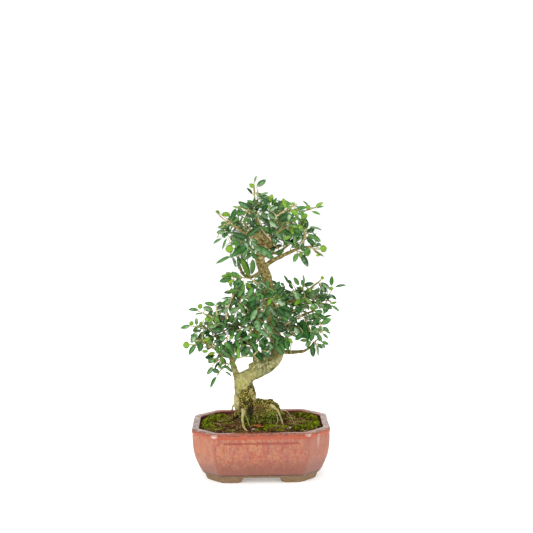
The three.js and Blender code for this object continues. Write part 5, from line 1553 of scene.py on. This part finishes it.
def fits(leaf):
    """Whether a leaf shows only where the photograph has foliage, and leaves room for the clear ones."""
    for share in (1, 0.55):  # its tip, then its middle
        u, v = pixel_of(leaf["base"] + leaf["direction"] * leaf["length"] * share)
        if not inside(u, v, CROWN_EDGE) and not inside(u, v, LOWER_EDGE):
            return False
        if in_spots(u, v, GAPS):
            return False
    in_front_half = leaf["base"].y < BACK_LEAVES
    return not (in_front_half and (in_spots(u, v, BARE_WOOD) or on_clear_part(u, v)))


SPRAY_VALUES = ("tone", "bloom", "along", "across", "underside")


def grow_spray(shape, shoots, leaf_sets, seed):
    """Adds the leaves that fit and the part of each shoot that carries them."""
    kept = [[leaf for leaf in leaves if fits(leaf)] for leaves in leaf_sets]
    chance = random.Random(seed)
    for shoot, leaves in zip(shoots, kept):
        if leaves:
            add_twig(shape, shoot, TWIG_RADIUS, seed)
        for leaf in leaves:
            add_leaf(shape, grown(leaf, chance))


def make_sprays():
    """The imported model's sprays with all their leaves and side shoots. Returns the wood's middle lines."""
    counts = {}
    wood = []
    for index, (limb, place, size, tips) in enumerate(SPRAYS):
        draw = random_from(FIRST_SEED + SEED_STEP * index)
        chance = random.Random(index)
        counts[limb] = counts.get(limb, 0) + 1
        shape = Shape(SPRAY_VALUES)
        shoots = shoots_of(limb, place, tips, draw)
        leaf_sets = [leaves_of(shoot, size * LEAF_GAIN, draw) for shoot in shoots]
        more = [side for shoot in shoots for side in side_shoots(shoot, chance)]
        if counts[limb] == 1:
            more += spurs_of(limb, chance)
        for shoot in more:
            leaf_sets.append(leaves_of(shoot, size * chance.uniform(0.8, 1.1), chance.random))
        for shoot in shoots:
            add_twig(shape, shoot, TWIG_RADIUS, index)
        grow_spray(shape, shoots + more, leaf_sets, index)
        node = f"spray_{limb}_{counts[limb]}"
        name = f"shoots_{limb}_{counts[limb]}"
        make_piece(name, shape.mesh(name), [TWIG, LEAF], [node])
        wood += [shoot.at(t) for shoot in shoots for t in np.linspace(0.1, 1, 12)]
    for name, rows in LIMBS.items():
        line = Curve(smooth_line(rows))
        wood += [line.at(t) for t in np.linspace(0, 1, int(line.length / 3)) if line.rows(t)[3] < 4]
    return wood


def wood_behind(u, v, wood):
    """The place on the wood that best carries a twig at a pixel: near it, and well forward."""
    def cost(place):
        x, y = pixel_of(place)
        return math.hypot(x - u, y - v) + 0.1 * place.y
    return min(wood, key=cost)


def bough_skin():
    """The bough as it shows: pixel, radius in pixels and how far forward its skin lies, along its middle."""
    rows = Curve(smooth_line(LIMBS["bough"])).rows(np.linspace(0, 1, 120))
    scale = FOCAL / -CAMERA_PLACE.y  # pixels per millimetre
    return [(*pixel_of(Vector(row[:3])), row[3] * scale, row[1] - row[3]) for row in rows]


def in_front(skin, start, end):
    """The depth at which a leaf between two pixels is clear of the bough, if the bough shows there."""
    depth = OPEN_DEPTH
    for share in (0, 0.5, 1):
        u, v = (a + (b - a) * share for a, b in zip(start, end))
        for x, y, radius, front in skin:
            if math.hypot(u - x, v - y) < radius + 1:
                depth = min(depth, front - BOUGH_GAP)
    return depth


def add_clear_twig(shape, twig, wood, kind):
    """A twig from the wood behind its first pixel, led forward. Returns places along it."""
    root = wood_behind(*twig[0], wood)
    depth = root.y - kind["forward"]
    places = [at_pixel(u, v, depth - kind["step_forward"] * k) for k, (u, v) in enumerate(twig, 1)]
    line = Curve(smooth_line([root, *places], 6))
    add_twig(shape, line, kind["radii"], 5, kind["tone"])
    return [line.at(t) for t in np.linspace(0.2, 1, 12)]


def clear_leaf(row, root, most, chance):
    """A leaf that shows from a pixel to another, as wide as it shows, near its root on the wood.

    It is turned away from the camera by as much as makes a leaf of a natural width look so wide.
    """
    u0, v0, u1, v1, width, tone = row
    base = at_pixel(u0, v0, min(root.y - WOOD_GAP, most))
    reach = math.hypot(u1 - u0, v1 - v0)
    scale = (at_pixel(u1, v1, base.y) - base).length / reach  # millimetres per pixel
    u1 += (u1 - u0) / reach * SOFT_EDGE / 2
    v1 += (v1 - v0) / reach * SOFT_EDGE / 2
    lean = reach * scale * chance.uniform(*TIP_LEAN)
    tip = at_pixel(u1, v1, min(base.y + lean, most))
    length = (tip - base).length
    seen = (width + SOFT_EDGE) * scale
    whole = max(seen, length * NATURAL_WIDTH)
    open_share = min(1, seen / whole)
    direction = (tip - base).normalized()
    to_camera = (CAMERA_PLACE - base).normalized()
    sideways = direction.cross(to_camera).normalized()
    if sideways.z < 0:
        sideways = -sideways
    face = to_camera * open_share + sideways * math.sqrt(1 - open_share**2)
    return {"base": base, "direction": direction, "face": face, "length": length, "width": whole,
            "tone": tone}


def make_clear_leaves(wood):
    """The leaves and twigs that show clearly in the photograph, each joined to the wood behind it."""
    chance = random.Random(CLEAR_SEED)
    shape = Shape(SPRAY_VALUES)
    skin = bough_skin()
    bough = Curve(smooth_line(LIMBS["bough"])).rows(np.linspace(0.4, 0.95, 60))
    wood = [*wood, *(Vector((x, y - radius + 0.5, z)) for x, y, z, radius in bough)]
    for twigs, kind in ((PALE_TWIGS, PALE_TWIG), (CLEAR_TWIGS, THIN_TWIG)):
        for twig in twigs:
            wood += add_clear_twig(shape, twig, wood, kind)
    for index, row in enumerate(CLEAR_LEAVES):
        root = wood_behind(*row[:2], wood)
        leaf = clear_leaf(row, root, in_front(skin, row[:2], row[2:4]), chance)
        if (leaf["base"] - root).length > STALK_LIMIT:
            stalk = shoot_curve(root, leaf["base"], chance.random)
            add_twig(shape, stalk, STALK_RADIUS, index)
        add_leaf(shape, grown(leaf, chance))
    make_piece("clear_leaves", shape.mesh("clear_leaves"), [TWIG, LEAF])


# ---------------------------------------------------------------- soil, moss and what lies on it

SOIL_EDGE, SOIL_CROWN = 74, 80  # heights of the soil at the wall and under the trunk
SOIL_STEP, SOIL_REACH = 1.5, 62  # distance between rings of the soil's top, and how far in they go
CRUMBS, THREADS = 1700, 320
LYING = ("fallen_leaf", "bark_chip", "grit_grain")  # what lies loose on the soil
TUFT_DENSITY = 0.34  # tufts for each point of a moss cushion's skin
TUFT_LEAVES = 5
FULL_TURN = 6.3  # a little over a whole turn, in radians
# Patches of thin moss on the soil: x, y and radius.
MOSS_PATCHES = [
    (-58, 18, 16), (-52, -8, 12), (-64, -30, 10), (30, -30, 12), (14, -26, 10), (44, 22, 14), (4, 40, 16),
    (-30, 44, 14), (66, 4, 14), (-14, -26, 8), (48, -14, 9), (-74, -34, 8), (12, -34, 10), (28, -46, 8),
    (-6, -46, 7), (60, -26, 9), (-46, -44, 8),
]
PATCH_DENSITY = 0.9  # tufts for each square millimetre of a square on the patch's radius
FALLEN_LEAF = {"turn": -0.65, "length": 24, "width": 6, "lift": 1.2}


def soil_height(x, y):
    """Height of the soil's surface: a low mound that rises towards the trunk."""
    reach = np.minimum(np.hypot(x / (POT["length"] / 2), y / (POT["width"] / 2)), 1)
    return SOIL_EDGE + (SOIL_CROWN - SOIL_EDGE) * np.cos(reach * math.pi / 2)


def on_soil(draw, margin=14):
    """A random place on the soil, inside the pot's rim."""
    while True:
        x = draw.uniform(-1, 1) * (POT["length"] / 2 - margin)
        y = draw.uniform(-1, 1) * (POT["width"] / 2 - margin)
        corner = POT["length"] / 2 + POT["width"] / 2 - POT["chamfer"] - 1.45 * margin
        if abs(x) + abs(y) < corner:
            return Vector((x, y, float(soil_height(x, y))))


def spots_taken():
    """Where the loose pieces lie on the soil: middle and how far they reach."""
    spots = []
    for node in LYING:
        low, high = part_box(node)
        centre, size = (low + high) / 2 / MM, (high - low) / MM
        spots.append((centre.x, centre.y, max(size.x, size.y) * 0.4))
    return spots


def is_free(place, spots, gap):
    """Whether a place on the soil keeps a gap from all that lies loose on it."""
    return all(math.hypot(place.x - x, place.y - y) > reach + gap for x, y, reach in spots)


def soil_rings():
    """Rings up along the pot's inner wall, then in over the top."""
    below = [row for row in reversed(INNER_WALL) if row[1] < SOIL_EDGE - 2]
    walls = [(inset + 0.6, height + 0.3) for inset, height in below]
    top = [(walls[-1][0] + k, SOIL_EDGE) for k in np.arange(0, SOIL_REACH, SOIL_STEP)]
    rings = []
    for inset, height in walls + top:
        ring = outline(inset, CORNER["body"])
        rings.append(np.column_stack([ring, np.full(len(ring), height)]))
    return rings


def add_crumb(shape, place, size, draw, tone):
    """A small angular lump."""
    radii = (size, size * draw.uniform(0.6, 1), size * draw.uniform(0.5, 0.9))
    vertices, faces = ball((0, 0, 0), radii, 6, 4)
    turn = Matrix.Rotation(draw.uniform(0, FULL_TURN), 3, "Z")
    tilt = Matrix.Rotation(draw.uniform(-0.6, 0.6), 3, "X")
    jitter = np.array([draw.uniform(0.75, 1.15) for _ in vertices])[:, None]
    shape.add((vertices * jitter) @ np.array(turn @ tilt).T + np.array(place), faces, tone=tone)


def add_thread(shape, place, length, draw, tone, radius=0.42):
    """A dry thread that lies loosely on the ground."""
    heading = draw.uniform(0, FULL_TURN)
    rows = []
    x, y = place.x, place.y
    for k in range(5):
        lift = 0.7 + (1.8 * draw.random() if 0 < k < 4 else 0)
        rows.append([x, y, float(soil_height(x, y)) + lift, radius * (1 - 0.12 * k)])
        heading += draw.uniform(-0.6, 0.6)
        x += math.cos(heading) * length / 4
        y += math.sin(heading) * length / 4
    shape.add(*tube(smooth_line(rows, 3), 5), tone=tone)


def make_soil():
    """The block of soil with its lumpy top, and the crumbs and threads that lie on it."""
    draw = random.Random(12)
    spots = spots_taken()
    shape = Shape(["tone"])
    loft(shape, soil_rings())
    places = np.vstack(shape.vertices)
    on_top = places[:, 2] > SOIL_EDGE - 0.4
    lumps = 1.3 * grain(places, 8, 3) + 0.8 * grain(places, 2.6, 2, 5)
    from_end = step(0, 5, (POT["length"] / 2 - 12) - np.abs(places[:, 0]))
    heights = soil_height(places[:, 0], places[:, 1]) + lumps * (0.3 + 0.7 * from_end)
    places[on_top, 2] = heights[on_top]
    shape.vertices = [places]
    shape.values["tone"] = [0.22 + 0.12 * lumps]
    for _ in range(CRUMBS):
        place = on_soil(draw)
        if is_free(place, spots, 1.5):
            add_crumb(shape, place, draw.uniform(0.6, 2.1), draw, draw.triangular(0, 0.75, 0.08))
    for _ in range(THREADS):
        place = on_soil(draw, 20)
        if is_free(place, spots, 11):
            add_thread(shape, place, draw.uniform(7, 20), draw, draw.triangular(0.2, 1, 0.5))
    make_piece("soil_bed", shape.mesh("soil_bed"), [SOIL], ["soil"])


def add_blade(shape, place, direction, length, draw, tone):
    """A tiny pointed moss leaf, as a three-sided spike."""
    level, raised = across(direction)
    width = length * 0.2
    turn = draw.uniform(0, FULL_TURN)
    base = []
    for corner in (0, 2.1, 4.2):
        way = level * math.cos(turn + corner) + raised * math.sin(turn + corner)
        base.append(place + way * width)
    tones = np.array([tone - 0.35] * 3 + [tone])
    shape.add([*base, place + direction * length], [(0, 1, 3), (1, 2, 3), (2, 0, 3), (0, 2, 1)], tone=tones)


def add_tuft(shape, place, normal, size, draw, tone):
    """One moss shoot: a star of leaves."""
    level, raised = across(normal)
    for k in range(TUFT_LEAVES):
        turn = k * 1.26 + draw.uniform(-0.3, 0.3)
        lean = draw.uniform(0.4, 1.0)
        way = normal + (level * math.cos(turn) + raised * math.sin(turn)) * lean
        add_blade(shape, place - normal * 0.3, way.normalized(), size * draw.uniform(0.7, 1.2), draw, tone)


def moss_cushion(name, node):
    """Lumpy ground of a cushion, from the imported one, with tufts all over it."""
    draw = random.Random(name)
    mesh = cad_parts[node].data.copy()
    mesh.materials.clear()
    places, normals, faces = fused(mesh, 1.1, 2)
    relief = 1.0 * grain(places, 5, 3) + 0.5 * grain(places, 2, 2, 3) - 0.2
    places = places + normals * relief[:, None]
    shape = Shape(["tone"])
    clumps = grain(places, 7, 2, 11)
    shape.add(places, faces, tone=0.12 + 0.2 * relief)
    for _ in range(int(TUFT_DENSITY * len(places))):
        k = draw.randrange(len(places))
        if normals[k][2] > 0.1:
            tone = 0.54 + 0.25 * relief[k] + 0.6 * clumps[k] + draw.uniform(-0.25, 0.3)
            add_tuft(shape, Vector(places[k]), Vector(normals[k]), draw.uniform(1.0, 1.9), draw, tone)
    make_piece(name, shape.mesh(name), [MOSS], [node])


def make_moss():
    """The five cushions of moss."""
    for node in ("moss_left_rim", "moss_front_right", "moss_front", "moss_back_right", "moss_trunk"):
        moss_cushion(node.replace("moss_", "cushion_"), node)


def make_moss_film():
    """Thin moss in patches over the soil, kept off the pot's rim."""
    draw = random.Random(31)
    shape = Shape(["tone"])
    for middle_x, middle_y, radius in MOSS_PATCHES:
        for _ in range(int(radius * radius * PATCH_DENSITY)):
            turn = draw.uniform(0, FULL_TURN)
            reach = radius * math.sqrt(draw.random()) * draw.uniform(0.6, 1.1)
            x = middle_x + reach * math.cos(turn)
            y = middle_y + reach * math.sin(turn) * 0.8
            if abs(x) < 90 and abs(y) < 64 and abs(x) + abs(y) < 132:
                place = Vector((x, y, float(soil_height(x, y)) + 0.4))
                add_tuft(shape, place, UP.copy(), draw.uniform(0.9, 1.8), draw, draw.uniform(0.3, 1))
    make_piece("moss_patches", shape.mesh("moss_patches"), [MOSS])


def make_fallen_leaf():
    """The dry leaf that lies on the moss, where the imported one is."""
    low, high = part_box("fallen_leaf")
    centre = (low + high) / 2 / MM
    turn, length = FALLEN_LEAF["turn"], FALLEN_LEAF["length"]
    direction = Vector((math.cos(turn), math.sin(turn), 0))
    shape = Shape(["tone", "along", "across", "underside"])
    leaf = {"base": centre - direction * length / 2 + UP * FALLEN_LEAF["lift"], "direction": direction,
            "face": Vector((0.1, -0.35, 1)), "length": length, "width": FALLEN_LEAF["width"], "blunt": 0.6,
            "fold": 0.55, "bend": -0.04, "wave": 0.2, "tone": 0.5, "bloom": 0}
    add_leaf(shape, leaf)
    shape.face_slots = [0] * len(shape.faces)
    make_piece("dry_leaf", shape.mesh("dry_leaf"), [dry_leaf_material()], ["fallen_leaf"])


def make_small_stone(name, node, material, seed):
    """A chip or grain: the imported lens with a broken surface."""
    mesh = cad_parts[node].data.copy()
    mesh.materials.clear()
    places, normals, faces = fused(mesh, 0.35, 1)
    places = places + normals * (0.35 * grain(places, 1.6, 3, seed))[:, None]
    shape = Shape()
    shape.add(places, faces)
    make_piece(name, shape.mesh(name), [material], [node])


def finish_screens():
    """The drain screens stay as packed, in plastic."""
    plastic = plastic_material()
    for node in ("drain_screen_left", "drain_screen_right"):
        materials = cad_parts[node].data.materials
        materials.clear()
        materials.append(plastic)


# ---------------------------------------------------------------- studio

# Name, place and size in metres, and power in watts.
LIGHTS = [
    ("key", (-1.1, -1.4, 1.7), (0.9, 0.9), 13),
    ("fill", (1.3, -1.2, 0.9), (0.5, 0.9), 3.2),
    ("top", (0.1, 0.3, 1.8), (0.8, 0.8), 7),
]
LIT_POINT = (0, 0, 0.2)  # what the lights aim at, in metres
SKY_STRENGTH = 1.1
FLOOR_REACH = 3000


def make_light(name, place, size, power):
    """A rectangular lamp that shines on the plant."""
    data = bpy.data.lights.new(name, "AREA")
    data.shape = "RECTANGLE"
    data.size, data.size_y = size
    data.energy = power
    light = bpy.data.objects.new(name, data)
    light.location = place
    aim = Vector(LIT_POINT) - Vector(place)
    light.rotation_euler = aim.to_track_quat("-Z", "Y").to_euler()
    bpy.context.scene.collection.objects.link(light)


def make_floor():
    """A wide white floor."""
    shape = Shape()
    corners = [(x * FLOOR_REACH, y * FLOOR_REACH, 0) for x, y in ((-1, -1), (1, -1), (1, 1), (-1, 1))]
    shape.add(corners, [(0, 1, 2, 3)])
    mesh = shape.mesh("floor")
    mesh.materials.append(floor_material())
    floor = bpy.data.objects.new("floor", mesh)
    bpy.context.scene.collection.objects.link(floor)


def make_studio():
    """A white surrounding with soft lights and a floor."""
    scene = bpy.context.scene
    scene.view_settings.view_transform = "Standard"
    world = bpy.data.worlds.new("studio")
    world.use_nodes = True
    background = world.node_tree.nodes["Background"]
    background.inputs["Color"].default_value = (1, 1, 1, 1)
    background.inputs["Strength"].default_value = SKY_STRENGTH
    scene.world = world
    for light in LIGHTS:
        make_light(*light)
    make_floor()


# ---------------------------------------------------------------- all of it

make_camera()
make_studio()
make_pot()
make_wood()
make_clear_leaves(make_sprays())
make_soil()
make_moss()
make_moss_film()
make_fallen_leaf()
make_small_stone("chip", "bark_chip", chip_material(), 2)
make_small_stone("grain", "grit_grain", grit_material(), 6)
finish_screens()
